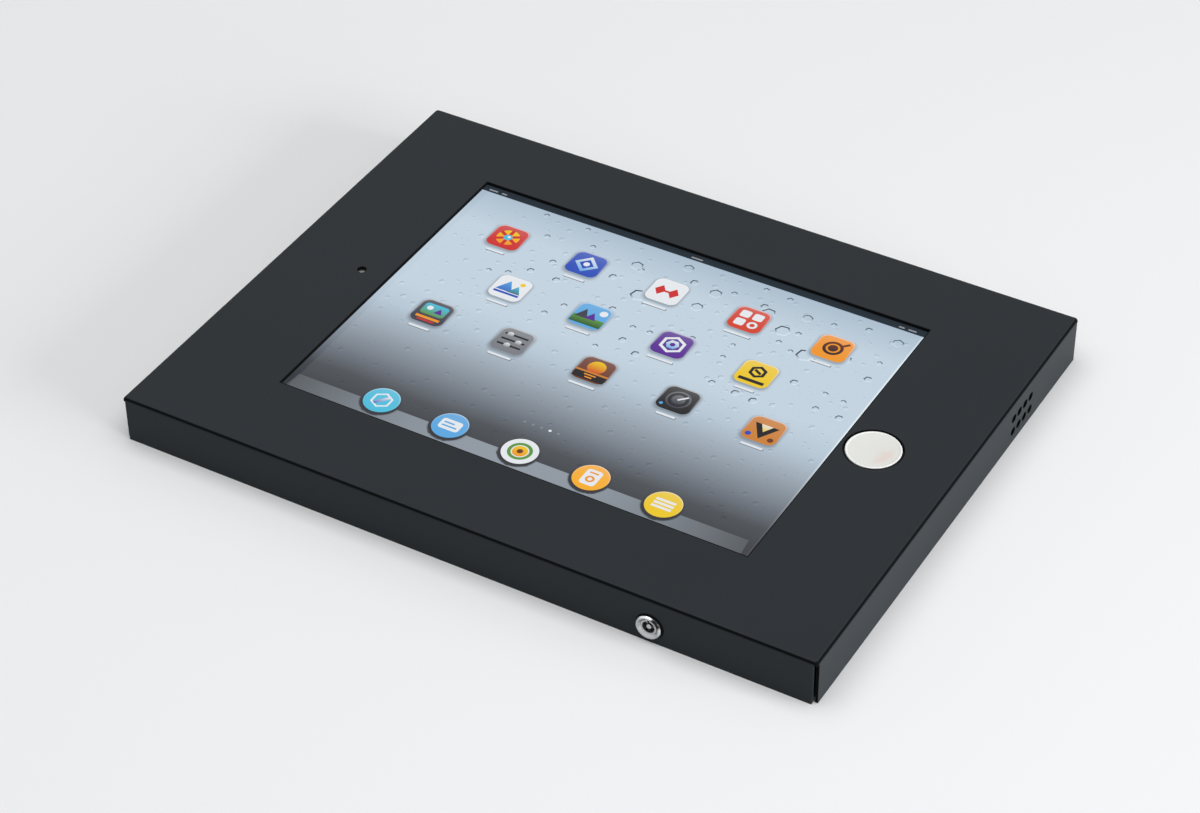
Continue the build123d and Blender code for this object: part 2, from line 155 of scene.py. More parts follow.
class Graph:
    """The node tree of one material or of the world."""

    def __init__(self, owner: Owner) -> None:
        """Start with an empty tree.

        Args:
            owner: The material or the world.
        """
        owner.use_nodes = True
        self.owner = owner
        self.tree = owner.node_tree
        self.tree.nodes.clear()

    @classmethod
    def named(cls, name: str) -> "Graph":
        """Start a new material."""
        return cls(bpy.data.materials.new(name))

    def node(self, kind: str, settings: Optional[dict[str, Any]] = None,
             inputs: Optional[dict[Key, Any]] = None, output: Key = 0) -> Sock:
        """Add a node.

        Args:
            kind: The node's type.
            settings: Its own settings, and "stops" for a colour ramp.
            inputs: Values or links by socket name or number.
            output: The output to return.

        Returns:
            The chosen output.
        """
        node = self.tree.nodes.new(kind)
        for name, value in (settings or {}).items():
            if name == "stops":
                ramp = node.color_ramp
                while len(ramp.elements) < len(value):
                    ramp.elements.new(1.0)
                for element, (position, colour) in zip(ramp.elements, value):
                    element.position = position
                    element.color = (*colour, 1.0)
            else:
                setattr(node, name, value)
        for key, value in (inputs or {}).items():
            socket = node.inputs[key]
            if isinstance(value, Sock):
                self.tree.links.new(value.socket, socket)
            elif socket.type == "RGBA" and len(value) == 3:
                socket.default_value = (*value, 1.0)
            else:
                socket.default_value = value
        return Sock(self, node.outputs[output])

    def several(self, kind: str, names: Iterable[Key], inputs: Optional[dict[Key, Any]] = None) -> list[Sock]:
        """Add a node and return several of its outputs."""
        outputs = self.node(kind, inputs=inputs).socket.node.outputs
        return [Sock(self, outputs[name]) for name in names]

    @cached_property
    def place(self) -> Sock:
        """Object coordinates."""
        return self.node("ShaderNodeTexCoord", output="Object")

    def axes(self) -> list[Sock]:
        """Return x, y and z of the Object coordinates."""
        return self.several("ShaderNodeSeparateXYZ", range(3), {0: self.place})

    def attribute(self, name: str, output: str) -> Sock:
        """Return an attribute of the mesh."""
        return self.node("ShaderNodeAttribute", {"attribute_name": name}, output=output)

    def noise(self, size: float, detail: float = 3.0, roughness: float = 0.5) -> Sock:
        """Add noise, 0 to 1, whose features are about a given size in metres."""
        inputs = {"Vector": self.place, "Scale": 1 / size, "Detail": detail, "Roughness": roughness}
        return self.node("ShaderNodeTexNoise", inputs=inputs)

    def mix(self, factor: Value, low: Tone, high: Tone, blend: str = "MIX") -> Sock:
        """Mix two colours, where a factor of 0 gives low and 1 gives high."""
        settings = {"data_type": "RGBA", "blend_type": blend, "clamp_factor": True}
        return self.node("ShaderNodeMix", settings, {0: factor, 6: low, 7: high}, output=2)

    def bump(self, height: Sock, depth: float) -> Sock:
        """Turn a height, 0 to 1, into a normal for a depth in metres."""
        return self.node("ShaderNodeBump", inputs={"Strength": 1.0, "Distance": depth, "Height": height})

    def shader(self, **inputs: Any) -> Sock:
        """Add a Principled shader with its sockets named, underscores for spaces."""
        named = {name.replace("_", " "): value for name, value in inputs.items()}
        return self.node("ShaderNodeBsdfPrincipled", inputs=named)

    def blend(self, factor: Sock, low: Sock, high: Sock) -> Sock:
        """Mix two shaders, where a factor of 0 gives low and 1 gives high."""
        return self.node("ShaderNodeMixShader", inputs={0: factor, 1: low, 2: high})

    def end(self, shader: Sock, output: str = "ShaderNodeOutputMaterial") -> Owner:
        """Link a shader to the output.

        Args:
            shader: The shader.
            output: Type of the output node.

        Returns:
            The material or world.
        """
        target = self.tree.nodes.new(output).inputs["Surface"]
        self.tree.links.new(shader.socket, target)
        return self.owner

    def surface(self, **inputs: Any) -> Owner:
        """End the material in one Principled shader."""
        return self.end(self.shader(**inputs))


@dataclass(frozen=True)
class PowderCoat:
    """Fine-textured anthracite powder coat, with painted shade in its bends, seams, cut edges and round its
    openings.
    """

    half_width: float
    half_height: float
    depth: float
    cap: Place
    lock: Place
    window: tuple[float, float, float] = (98.7 * MM, 74.0 * MM, 0.8 * MM)
    sound_middle: Place = (58.7 * MM, 8.5 * MM)
    sound_pitch: Place = (5.0 * MM, 6.1 * MM)
    cap_rim: float = 11.45 * MM
    lock_rim: float = 5.6 * MM
    lock_shade: float = 0.35 * MM
    sound_rim: float = 1.72 * MM
    sound_stretch: float = 0.84
    sheet: float = 1.2 * MM
    bend: float = 1.5 * MM
    seam: float = 1.35 * MM
    colour: Colour = linear(35, 40, 44)
    # very dark colour of the painted shade
    shade_black: Colour = (0.0025, 0.0026, 0.003)
    grain: float = 0.5 * MM
    grain_depth: float = 0.03 * MM
    roughness: float = 0.46

    def painted_shade_share(self, graph: Graph) -> Sock:
        """Find where shade is painted on the coat, 0 to 1.

        Args:
            graph: The node tree.

        Returns:
            The mask.
        """
        x, y, z = graph.axes()
        across, up = x.size(), y.size()
        fold = self.depth - self.bend
        past = (across - (self.half_width - self.bend)).larger(up - (self.half_height - self.bend))
        # painted shade along the folds round the top, which reflect little light
        bend = past.step(0.5 * MM, 0.8 * MM) * z.step(fold + 0.5 * MM, fold + 0.8 * MM)
        seam_x, seam_y = self.half_width - self.seam, self.half_height - self.seam
        # painted shade in the open corner seams
        seam = across.step(seam_x, seam_x + 0.05 * MM) * up.step(seam_y, seam_y + 0.05 * MM)
        dark = bend.larger(seam)
        on_top = 1 - past.step(-1.0 * MM, -0.5 * MM)
        on_side = 1 - z.step(self.depth - 2 * self.bend, fold)
        # painted shade on the cut edges of the holes in the top and in the sides
        for way, edge, here in ((z, self.depth, on_top), (across, self.half_width, on_side)):
            inner = edge - self.sheet
            cut = way.step(inner + 0.02 * MM, inner + 0.05 * MM) * (
                1 - way.step(edge - 0.12 * MM, edge - 0.02 * MM))
            dark = dark.larger(cut * here)
        # painted shade round the openings
        for rim in self.rims(x, y, z):
            dark = dark.larger(rim)
        return dark

    def rims(self, x: Sock, y: Sock, z: Sock) -> list[Sock]:
        """Return the thin rims of painted shade round the window, the cap, the lock and the sound holes, 0 to
        1 each.

        Args:
            x: Place along the cover.
            y: Place across the cover.
            z: Height.

        Returns:
            The masks.
        """
        def circle(across: Sock, up: Sock, radius: float) -> Sock:
            """Return a round mask."""
            return 1 - reach(across, up).step(radius - SOFT, radius + SOFT)

        half_width, half_height, middle = self.window
        on_top = z.step(self.depth - 0.3 * MM, self.depth - 0.1 * MM)
        on_front = 1 - y.step(0.3 * MM - self.half_height, 0.5 * MM - self.half_height)
        on_right = x.step(self.half_width - 0.3 * MM, self.half_width - 0.1 * MM)
        beyond = (x.size() - half_width).larger((y - middle).size() - half_height)
        # painted shade along the window's edge
        window = 1 - beyond.step(0.3 * MM, 0.5 * MM)
        # painted shade in the gap round the cap
        cap = circle(x - self.cap[0], y - self.cap[1], self.cap_rim)
        shade_x, shade_z = (place + self.lock_shade for place in self.lock)
        # off-centre ring: painted shadow up and to the right of the lock's head
        lock = circle(x - shade_x, z - shade_z, self.lock_rim)
        pitch, row_pitch = self.sound_pitch
        along, up = y - self.sound_middle[0], (z - self.sound_middle[1]).size()
        column = (along + 1.5 * pitch).math("PINGPONG", pitch / 2)
        group = 1 - along.size().step(2 * pitch, 2.1 * pitch)
        # painted shade that makes the sound holes look larger and darker
        sound = circle(column * self.sound_stretch, up - row_pitch / 2, self.sound_rim) * group
        return [window * on_top, cap * on_top, lock * on_front, sound * on_right]

    def build(self) -> bpy.types.Material:
        """Make the material.

        Returns:
            The material.
        """
        graph = Graph.named("black_powder_coat")
        fine = graph.noise(self.grain, 2.0, 0.6)
        coarse = graph.noise(3 * self.grain, 2.0)
        cloud = graph.noise(45 * MM)
        fleck = fine.step(0.66, 0.80)
        tone = graph.mix(cloud, scaled(self.colour, 0.92), scaled(self.colour, 1.08))
        coat = graph.shader(Base_Color=graph.mix(fleck * 0.25, tone, scaled(self.colour, 2.0)),
                            Roughness=self.roughness + (cloud - 0.5) * 0.06 + fleck * 0.05,
                            Specular_IOR_Level=0.11,
                            Normal=graph.bump(fine * 0.7 + coarse * 0.3, self.grain_depth))
        # very dark shader for the painted shade
        dark = graph.shader(Base_Color=self.shade_black, Roughness=0.8, Specular_IOR_Level=0.05)
        return graph.end(graph.blend(self.painted_shade_share(graph), coat, dark))


@dataclass(frozen=True)
class Plating:
    """Bright plated metal, rolled, or turned about an upright axis of the near side.

    Turned metal has fine rings, and may have a ring of painted shade, or the part of one that lies to one
    side, and a rim painted lighter, both polished and a painted highlight.
    """

    name: str
    colour: Colour
    roughness: float
    mottle: float = 0.0
    turned_axis: Optional[Place] = None
    shade_ring: Optional[Place] = None
    ring_side: Optional[Place] = None
    ring_fade: Place = (0.80, 0.95)
    polish_and_highlight_from: Optional[float] = None
    polish_and_highlight: Colour = (0.94, 0.94, 0.95)
    ring_pitch: float = 0.11 * MM

    def build(self) -> bpy.types.Material:
        """Make the material.

        Returns:
            The material.
        """
        graph = Graph.named(self.name)
        cloud = graph.noise(14 * MM, 4.0)
        fine = graph.noise(0.35 * MM)
        base = graph.mix(cloud, scaled(self.colour, 1 - 0.22 * self.mottle), self.colour)
        rough = self.roughness + (cloud - 0.5) * (0.16 * self.mottle) + (fine - 0.5) * 0.06
        if self.turned_axis is None:
            return graph.surface(Base_Color=base, Metallic=1.0, Roughness=rough,
                                 Normal=graph.bump(fine, 0.004 * MM))
        x, _, z = graph.axes()
        across, up = x - self.turned_axis[0], z - self.turned_axis[1]
        radius = reach(across, up)
        height = (radius * (2 * math.pi / self.ring_pitch)).math("SINE") * 0.3 + fine
        # rim painted lighter: polish and a painted highlight
        if self.polish_and_highlight_from is not None:
            start = self.polish_and_highlight_from
            base = graph.mix(radius.step(start, start + SOFT), base, self.polish_and_highlight)
        metal = graph.shader(Base_Color=base, Metallic=1.0, Roughness=rough,
                             Normal=graph.bump(height, 0.004 * MM))
        if self.shade_ring is None:
            return graph.end(metal)
        # ring of painted shade in the recesses, on one side only where a side is given
        inner, outer = self.shade_ring
        ring = radius.step(inner, inner + SOFT) * (1 - radius.step(outer - SOFT, outer))
        if self.ring_side is not None:
            side = (across * self.ring_side[0] + up * self.ring_side[1]) / radius
            ring = ring * side.step(*self.ring_fade)
        # very dark shader for the painted shade
        shade_black = graph.shader(Base_Color=(0.006, 0.006, 0.007), Roughness=0.6, Specular_IOR_Level=0.2)
        return graph.end(graph.blend(ring, metal, shade_black))


@dataclass(frozen=True)
class Moulded:
    """Moulded plastic or rubber with a fine eroded grain."""

    name: str
    colour: Colour
    roughness: float
    grain: float = 0.4 * MM
    grain_depth: float = 0.03 * MM
    specular: float = 0.5

    def build(self) -> bpy.types.Material:
        """Make the material.

        Returns:
            The material.
        """
        graph = Graph.named(self.name)
        fine = graph.noise(self.grain, 3.0, 0.6)
        base = graph.mix(graph.noise(20 * MM, 2.0), scaled(self.colour, 0.88), self.colour)
        return graph.surface(Base_Color=base, Roughness=self.roughness + (fine - 0.5) * 0.12,
                             Specular_IOR_Level=self.specular, Normal=graph.bump(fine, self.grain_depth))


@dataclass(frozen=True)
class Glass:
    """Printed glass, glossy over a plain colour, with an upright dark round window where one is given."""

    name: str
    colour: Colour
    roughness: float = 0.06
    window: Optional[tuple[float, float, float]] = None
    dark: Colour = (0.004, 0.004, 0.008)

    def build(self) -> bpy.types.Material:
        """Make the material.

        Returns:
            The material.
        """
        graph = Graph.named(self.name)
        smear = graph.noise(30 * MM, 4.0)
        base = graph.mix(graph.noise(0.25 * MM, 2.0), scaled(self.colour, 0.95), self.colour)
        if self.window is not None:
            x, y, _ = graph.axes()
            middle_x, middle_y, radius = self.window
            edge = reach(x - middle_x, y - middle_y).step(0.9 * radius, radius)
            base = graph.mix(edge, self.dark, base)
        return graph.surface(Base_Color=base, Roughness=self.roughness + smear * 0.05,
                             Coat_Weight=0.6 + smear * 0.1, Coat_Roughness=0.04)


@dataclass(frozen=True)
class CapPlastic:
    """Off-white plastic of the home button cap, with a painted highlight on the rim, a painted reflection and
    painted shade below.
    """

    centre: Place
    top: float
    rim: float = 9.75 * MM
    colour: Colour = linear(224, 225, 221)
    # paler rim: painted highlight
    rim_highlight: Colour = linear(239, 239, 238)
    # pinkish tint: painted reflection
    warm_reflection: Colour = linear(225, 213, 205)
    # very dark: painted shade on the cap below its upper rim
    dark: Colour = (0.004, 0.004, 0.004)

    def build(self) -> bpy.types.Material:
        """Make the material.

        Returns:
            The material.
        """
        graph = Graph.named("white_cap_plastic")
        x, y, z = graph.axes()
        across, up = x - self.centre[0], y - self.centre[1]
        radius = reach(across, up)
        cloud = graph.noise(4.5 * MM)
        fine = graph.noise(0.3 * MM)
        # pinkish patch towards the lower right: painted reflection
        painted_reflection = across.step(0.5 * MM, 5 * MM) * (1 - radius.step(6.5 * MM, 9 * MM)) * (
            1 - up.step(1 * MM, 6 * MM))
        face = graph.mix(painted_reflection * cloud.step(0.3, 0.6), self.colour, self.warm_reflection)
        # painted highlight on the rim
        outer = graph.mix(radius.step(self.rim - SOFT / 2, self.rim + SOFT), face, self.rim_highlight)
        # painted shade on the cap below its upper rim: side, lip and stem
        base = graph.mix(1 - z.step(self.top - 0.65 * MM, self.top - 0.35 * MM), outer, self.dark)
        return graph.surface(Base_Color=base, Roughness=0.36 + (fine - 0.5) * 0.1,
                             Specular_IOR_Level=0.35, Normal=graph.bump(fine, 0.008 * MM))


@dataclass(frozen=True)
class ScreenGlow:
    """Light of the display: a wallpaper, pale at the top and dark at the bottom, the pale top partly a
    painted reflection.
    """

    bottom: float
    top: float
    stops: tuple[tuple[float, Colour], ...] = (
        (0.05, linear(58, 61, 66)), (0.12, linear(72, 76, 81)), (0.19, linear(105, 112, 122)),
        (0.30, linear(144, 155, 166)), (0.43, linear(180, 196, 210)), (0.53, linear(192, 208, 220)),
        (0.84, linear(191, 207, 220)), (0.97, linear(170, 188, 204)))

    def wallpaper_and_reflection(self, graph: Graph) -> Sock:
        """Make the wallpaper's colour with its painted reflection.

        Args:
            graph: The node tree.

        Returns:
            The colour.
        """
        _, y, _ = graph.axes()
        # the pale top is partly a painted reflection of the room on the glass
        height = (y - self.bottom) / (self.top - self.bottom)
        wave = graph.noise(60 * MM, 2.0)
        return graph.node("ShaderNodeValToRGB", {"stops": self.stops}, {0: height + (wave - 0.5) * 0.03})

    def lit(self, graph: Graph, glow: Sock) -> bpy.types.Material:
        """End a material in dark glass that glows."""
        return graph.surface(Base_Color=(0.003, 0.003, 0.004), Roughness=0.10, Specular_IOR_Level=0.2,
                             Emission_Color=glow, Emission_Strength=1.0)

    def build(self) -> bpy.types.Material:
        """Make the material of the wallpaper and its painted reflection."""
        graph = Graph.named("screen_glass")
        return self.lit(graph, self.wallpaper_and_reflection(graph))

    def build_marks(self) -> bpy.types.Material:
        """Make the material of marks that lighten or darken the wallpaper by their tint.

        Returns:
            The material.
        """
        graph = Graph.named("screen_marks")
        tint = graph.attribute("tint", "Color")
        return self.lit(graph, graph.mix(1.0, self.wallpaper_and_reflection(graph), tint, "MULTIPLY"))

    def build_ink(self) -> bpy.types.Material:
        """Make the material of shapes that show their own tint, paler by their gloss.

        Returns:
            The material.
        """
        graph = Graph.named("screen_ink")
        tint = graph.attribute("tint", "Color")
        shaded = graph.mix(graph.noise(0.5 * MM, 2.0) * 0.12, tint, (0.0, 0.0, 0.0))
        return self.lit(graph, graph.mix(graph.attribute("gloss", "Fac"), shaded, (0.86, 0.88, 0.90)))


@dataclass(frozen=True)
class FloorPaint:
    """Plain pale floor that melts into the backdrop far away."""

    backdrop: float
    colour: Colour = linear(240, 241, 242)
    fade: Place = (0.8, 2.2)

    def build(self) -> bpy.types.Material:
        """Make the material.

        Returns:
            The material.
        """
        graph = Graph.named("floor_paint")
        base = graph.mix(graph.noise(0.8, 2.0), scaled(self.colour, 0.985), self.colour)
        paint = graph.shader(Base_Color=base, Roughness=0.9, Specular_IOR_Level=0.1)
        x, y, _ = graph.axes()
        seen = graph.node("ShaderNodeLightPath", output="Is Camera Ray")
        glow = graph.node("ShaderNodeEmission", inputs={"Color": (1.0, 1.0, 1.0), "Strength": self.backdrop})
        return graph.end(graph.blend(reach(x, y).step(*self.fade) * seen, paint, glow))


def box_of(name: str) -> tuple[Vector, Vector]:
    """Return the lowest and highest corner of a CAD node."""
    low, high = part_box(name)
    return (Vector(low), Vector(high))


def middle_of(name: str) -> Vector:
    """Return the middle of a CAD node's box."""
    low, high = box_of(name)
    return (low + high) / 2


def dress(finish: bpy.types.Material, *names: str) -> None:
    """Give CAD nodes their finish.

    Args:
        finish: The material.
        names: The nodes.
    """
    for name in names:
        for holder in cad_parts[name].material_slots:
            holder.material = finish
        log.info("dressed %s with %s", name, finish.name)


def put(name: str, data: Optional[bpy.types.ID]) -> bpy.types.Object:
    """Put a mesh, lamp or camera into the scene.

    Args:
        name: Name of the object.
        data: The mesh, lamp or camera.

    Returns:
        The object.
    """
    thing = bpy.data.objects.new(name, data)
    bpy.context.scene.collection.objects.link(thing)
    return thing


def add(name: str, mesh: bpy.types.Mesh, finish: bpy.types.Material, slot: str, body: str,
        *stands_for: str) -> None:
    """Put a finished mesh into the scene on its body.

    Args:
        name: Name of the piece.
        mesh: Its mesh, in place.
        finish: Its material.
        slot: The record's material slot; not used.
        body: The body that carries it.
        stands_for: CAD nodes that it replaces.
    """
    mesh.materials.clear()
    mesh.materials.append(finish)
    mesh.shade_smooth()
    mesh.set_sharp_from_angle(angle=SMOOTH_BELOW)
    piece = put(name, mesh)
    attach(piece, body)
    if stands_for:
        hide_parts(*stands_for)
    log.info("made %s with %d faces on %s", name, len(mesh.polygons), body)


def to_mesh(name: str, shape: bmesh.types.BMesh, outward: bool = True) -> bpy.types.Mesh:
    """Turn a working shape into a mesh.

    Args:
        name: Name of the mesh.
        shape: The shape, which is freed.
        outward: True to merge doubles and turn the faces of a closed shape outwards.

    Returns:
        The mesh.
    """
    if outward:
        bmesh.ops.remove_doubles(shape, verts=shape.verts, dist=1e-7)
        bmesh.ops.recalc_face_normals(shape, faces=shape.faces)
    mesh = bpy.data.meshes.new(name)
    shape.to_mesh(mesh)
    shape.free()
    return mesh


def rounded(corners: Sequence[tuple[float, float, float]], closed: bool, steps: int = 4) -> list[Place]:
    """Round the corners of a line.

    Args:
        corners: Each corner's place and radius.
        closed: True where the line is a loop.
        steps: Segments in each round.

    Returns:
        The points of the rounded line.
    """
    points: list[Place] = []
    count = len(corners)
    for index, (x, y, radius) in enumerate(corners):
        here = Vector((x, y))
        if radius <= 0 or (not closed and index in (0, count - 1)):
            points.append((x, y))
            continue
        before = Vector(corners[index - 1][:2]) - here
        after = Vector(corners[(index + 1) % count][:2]) - here
        half = before.angle(after) / 2
        along = radius / math.tan(half)
        start = here + before.normalized() * along
        end = here + after.normalized() * along
        middle = here + (before.normalized() + after.normalized()).normalized() * (radius / math.sin(half))
        for step in range(steps + 1):
            spoke = start.lerp(end, step / steps) - middle
            point = middle + spoke.normalized() * radius
            points.append((point.x, point.y))
    return points


def in_metres(line: Iterable[Place]) -> list[Place]:
    """Turn a line in millimetres into metres."""
    return [(x * MM, y * MM) for x, y in line]


@dataclass(frozen=True)
class Spindle:
    """An axis that profiles are turned about: an origin, the axis and a first spoke."""

    origin: Vector
    along: Vector
    spoke: Vector

    @classmethod
    def upright(cls, name: str) -> "Spindle":
        """Return the upright axis through the middle of a CAD node, with heights as in the CAD."""
        middle = middle_of(name)
        return cls(Vector((middle.x, middle.y, 0)), UP, RIGHT)

    def turn(self, profile: Sequence[Place], closed: bool, segments: int) -> bmesh.types.BMesh:
        """Turn a profile about the axis.

        Args:
            profile: Points of radius and height along the axis.
            closed: True where the profile is a loop clear of the axis.
            segments: Segments round the axis.

        Returns:
            The shape.
        """
        shape = bmesh.new()
        side = self.along.cross(self.spoke)
        rings = []
        for radius, height in profile:
            middle = self.origin + self.along * height
            if radius < 1e-9:
                rings.append([shape.verts.new(middle)])
                continue
            ring = []
            for index in range(segments):
                angle = 2 * math.pi * index / segments
                spoke = self.spoke * math.cos(angle) + side * math.sin(angle)
                ring.append(shape.verts.new(middle + spoke * radius))
            rings.append(ring)
        for low, high in zip(rings, rings[1:] + rings[:1] if closed else rings[1:]):
            if len(low) == 1 and len(high) == 1:
                continue
            for index in range(segments):
                after = (index + 1) % segments
                if len(low) == 1:
                    shape.faces.new((low[0], high[index], high[after]))
                elif len(high) == 1:
                    shape.faces.new((low[index], low[after], high[0]))
                else:
                    shape.faces.new((low[index], low[after], high[after], high[index]))
        return shape


def add_block(shape: bmesh.types.BMesh, low: Vector, high: Vector, corner: float, edge: float) -> None:
    """Add a block with rounded upright corners and softened rims.

    Args:
        shape: The shape to add to.
        low: Lowest corner.
        high: Highest corner.
        corner: Radius of the upright corners.
        edge: Radius of the upper and lower rims.
    """
    def rise(link: bmesh.types.BMEdge) -> float:
        """Return how far an edge climbs."""
        return abs(link.verts[0].co.z - link.verts[1].co.z)

    size = high - low
    matrix = Matrix.Translation((low + high) / 2) @ Matrix.Diagonal((size.x, size.y, size.z, 1.0))
    made = bmesh.ops.create_cube(shape, size=1.0, matrix=matrix)
    upright = {link for vert in made["verts"] for link in vert.link_edges if rise(link) > 0.5 * size.z}
    soften = partial(bmesh.ops.bevel, shape, profile=0.5, affect="EDGES")
    turned = soften(geom=list(upright), offset=corner, segments=4)
    verts = {vert for face in turned["faces"] for vert in face.verts}
    rims = {link for vert in verts for link in vert.link_edges
            if rise(link) < 1e-6 and len({abs(face.normal.z) > 0.9 for face in link.link_faces}) == 2}
    soften(geom=list(rims), offset=edge, segments=2)


def islands(name: str) -> list[tuple[Vector, Vector]]:
    """Find the box of each separate solid of a CAD node.

    Args:
        name: The node.

    Returns:
        The two corners of each.
    """
    shape = bmesh.new()
    shape.from_mesh(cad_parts[name].data)
    bmesh.ops.remove_doubles(shape, verts=shape.verts, dist=1e-6)
    left = set(shape.verts)
    boxes = []
    while left:
        stack = [left.pop()]
        group = [stack[0]]
        while stack:
            for link in stack.pop().link_edges:
                for vert in left.intersection(link.verts):
                    left.remove(vert)
                    stack.append(vert)
                    group.append(vert)
        low, high = (Vector([pick(vert.co[axis] for vert in group) for axis in range(3)])
                     for pick in (min, max))
        boxes.append((low, high))
    shape.free()
    return sorted(boxes, key=lambda box: (round(box[0].x, 5), round(box[0].y, 5)))


def points_mesh(name: str, places: Iterable[Vector], tints: Sequence[Colour] = ()) -> bpy.types.Mesh:
    """Make a mesh of loose points, each with a tint where tints are given.

    Args:
        name: Name of the mesh.
        places: The points.
        tints: One linear colour for each.

    Returns:
        The mesh.
    """
    mesh = bpy.data.meshes.new(name)
    mesh.from_pydata([tuple(place) for place in places], [], [])
    if tints:
        layer = mesh.attributes.new("tint", "FLOAT_COLOR", "POINT")
        for entry, tint in zip(layer.data, tints):
            entry.color = (*tint, 1.0)
    return mesh


class PieceTree:
    """A Geometry Nodes tree with named inputs, which is run once to give a plain mesh."""

    def __init__(self, name: str, inputs: dict[str, str]) -> None:
        """Start the tree.

        Args:
            name: Name of the tree.
            inputs: Kind of each named input besides the geometry and the finish.
        """
        self.tree = bpy.data.node_groups.new(name, "GeometryNodeTree")
        self.sockets: dict[str, str] = {}
        for label, kind in {"Geometry": "Geometry", "Finish": "Material", **inputs}.items():
            socket = self.tree.interface.new_socket(label, in_out="INPUT", socket_type="NodeSocket" + kind)
            self.sockets[label] = socket.identifier
        self.tree.interface.new_socket("Geometry", in_out="OUTPUT", socket_type="NodeSocketGeometry")
        self.given = self.node("NodeGroupInput")

    def node(self, kind: str, inputs: Optional[dict[Key, Any]] = None, **settings: Any) -> Any:
        """Add a node.

        Args:
            kind: The node's type.
            inputs: Values or links by socket name or number.
            settings: Its own settings.

        Returns:
            Its outputs.
        """
        node = self.tree.nodes.new(kind)
        for name, value in settings.items():
            setattr(node, name, value)
        for key, value in (inputs or {}).items():
            if isinstance(value, bpy.types.NodeSocket):
                self.tree.links.new(value, node.inputs[key])
            else:
                node.inputs[key].default_value = value
        return node.outputs

    def end(self, geometry: bpy.types.NodeSocket) -> None:
        """Make the result real, give it its finish and end the tree.

        Args:
            geometry: What the tree has made.
        """
        whole = self.node("GeometryNodeRealizeInstances", {"Geometry": geometry})[0]
        inputs = {"Geometry": whole, "Material": self.given["Finish"]}
        self.node("NodeGroupOutput", {"Geometry": self.node("GeometryNodeSetMaterial", inputs)[0]})

    def bake(self, name: str, base: bpy.types.Mesh, finish: bpy.types.Material,
             **values: Any) -> bpy.types.Mesh:
        """Run the tree on a mesh and keep the result as a plain mesh.

        Args:
            name: Name of the result.
            base: The points or faces to work on.
            finish: Finish of the result.
            values: Values of the other named inputs.

        Returns:
            The resulting mesh.
        """
        holder = put(name + "_base", base)
        modifier = holder.modifiers.new("repeat", "NODES")
        modifier.node_group = self.tree
        for label, value in {"Finish": finish, **values}.items():
            modifier[self.sockets[label]] = value
        holder.update_tag()
        bpy.context.view_layer.update()
        evaluated = holder.evaluated_get(bpy.context.evaluated_depsgraph_get())
        mesh = bpy.data.meshes.new_from_object(evaluated)
        mesh.name = name
        holder.modifiers.clear()
        bpy.data.objects.remove(holder)
        return mesh


def repeated(name: str, piece: bpy.types.Mesh, base: bpy.types.Mesh, finish: bpy.types.Material,
             sizes: Place = (1.0, 1.0), turn: float = 0.0, seed: int = 1,
             scatter: Optional[Place] = None) -> bpy.types.Mesh:
    """Set one piece on many points, or scatter it over a surface.

    Args:
        name: Name of the tree and of the result.
        piece: The piece, about the origin.
        base: The points, or the faces to scatter over.
        finish: Finish of the result.
        sizes: Smallest and largest scale of the piece.
        turn: Most that it is turned, in radians.
        seed: Seed of the random draws.
        scatter: Least spacing and greatest density, where the piece is scattered.

    Returns:
        All the pieces as one mesh.
    """
    floats = ("Smallest", "Largest", "Turn", "Spacing", "Density")
    tree = PieceTree(name, {"Piece": "Object", **dict.fromkeys(floats, "Float"), "Seed": "Int"})
    given = tree.given
    points = given["Geometry"]
    if scatter is not None:
        points = tree.node("GeometryNodeDistributePointsOnFaces", distribute_method="POISSON", inputs={
            "Mesh": points, "Distance Min": given["Spacing"], "Density Max": given["Density"],
            "Seed": given["Seed"]})["Points"]
    source = tree.node("GeometryNodeObjectInfo", {"Object": given["Piece"]}, transform_space="ORIGINAL")
    size, angle = (
        tree.node("FunctionNodeRandomValue", {2: low, 3: high, "Seed": given["Seed"]}, data_type="FLOAT")[1]
        for low, high in ((given["Smallest"], given["Largest"]), (0.0, given["Turn"])))
    upright = tree.node("ShaderNodeCombineXYZ", {"Z": angle})[0]
    tree.end(tree.node("GeometryNodeInstanceOnPoints", {
        "Points": points, "Instance": source["Geometry"], "Rotation": upright, "Scale": size})["Instances"])
    holder = bpy.data.objects.new(name + "_source", piece)
    values = {"Piece": holder, "Smallest": sizes[0], "Largest": sizes[1], "Turn": turn, "Seed": seed}
    if scatter is not None:
        values["Spacing"], values["Density"] = scatter
    mesh = tree.bake(name, base, finish, **values)
    bpy.data.objects.remove(holder)
    return mesh


class Stamp(Enum):
    """Plain shapes that the screen's signs are composed of, by their number of corners where it counts."""

    DISC = 32
    TRIANGLE = 3
    DIAMOND = 4
    HEXAGON = 6
    BAR = 0
    PLATE = 1


class Layer(IntEnum):
    """Layers of the screen's picture, by their step above the display's face."""

    OUTLINES = 1
    EDGE_LIGHT = 4
    SHADES = 5
    TILES = 9
    NAMES = 10
    SIGNS = 11


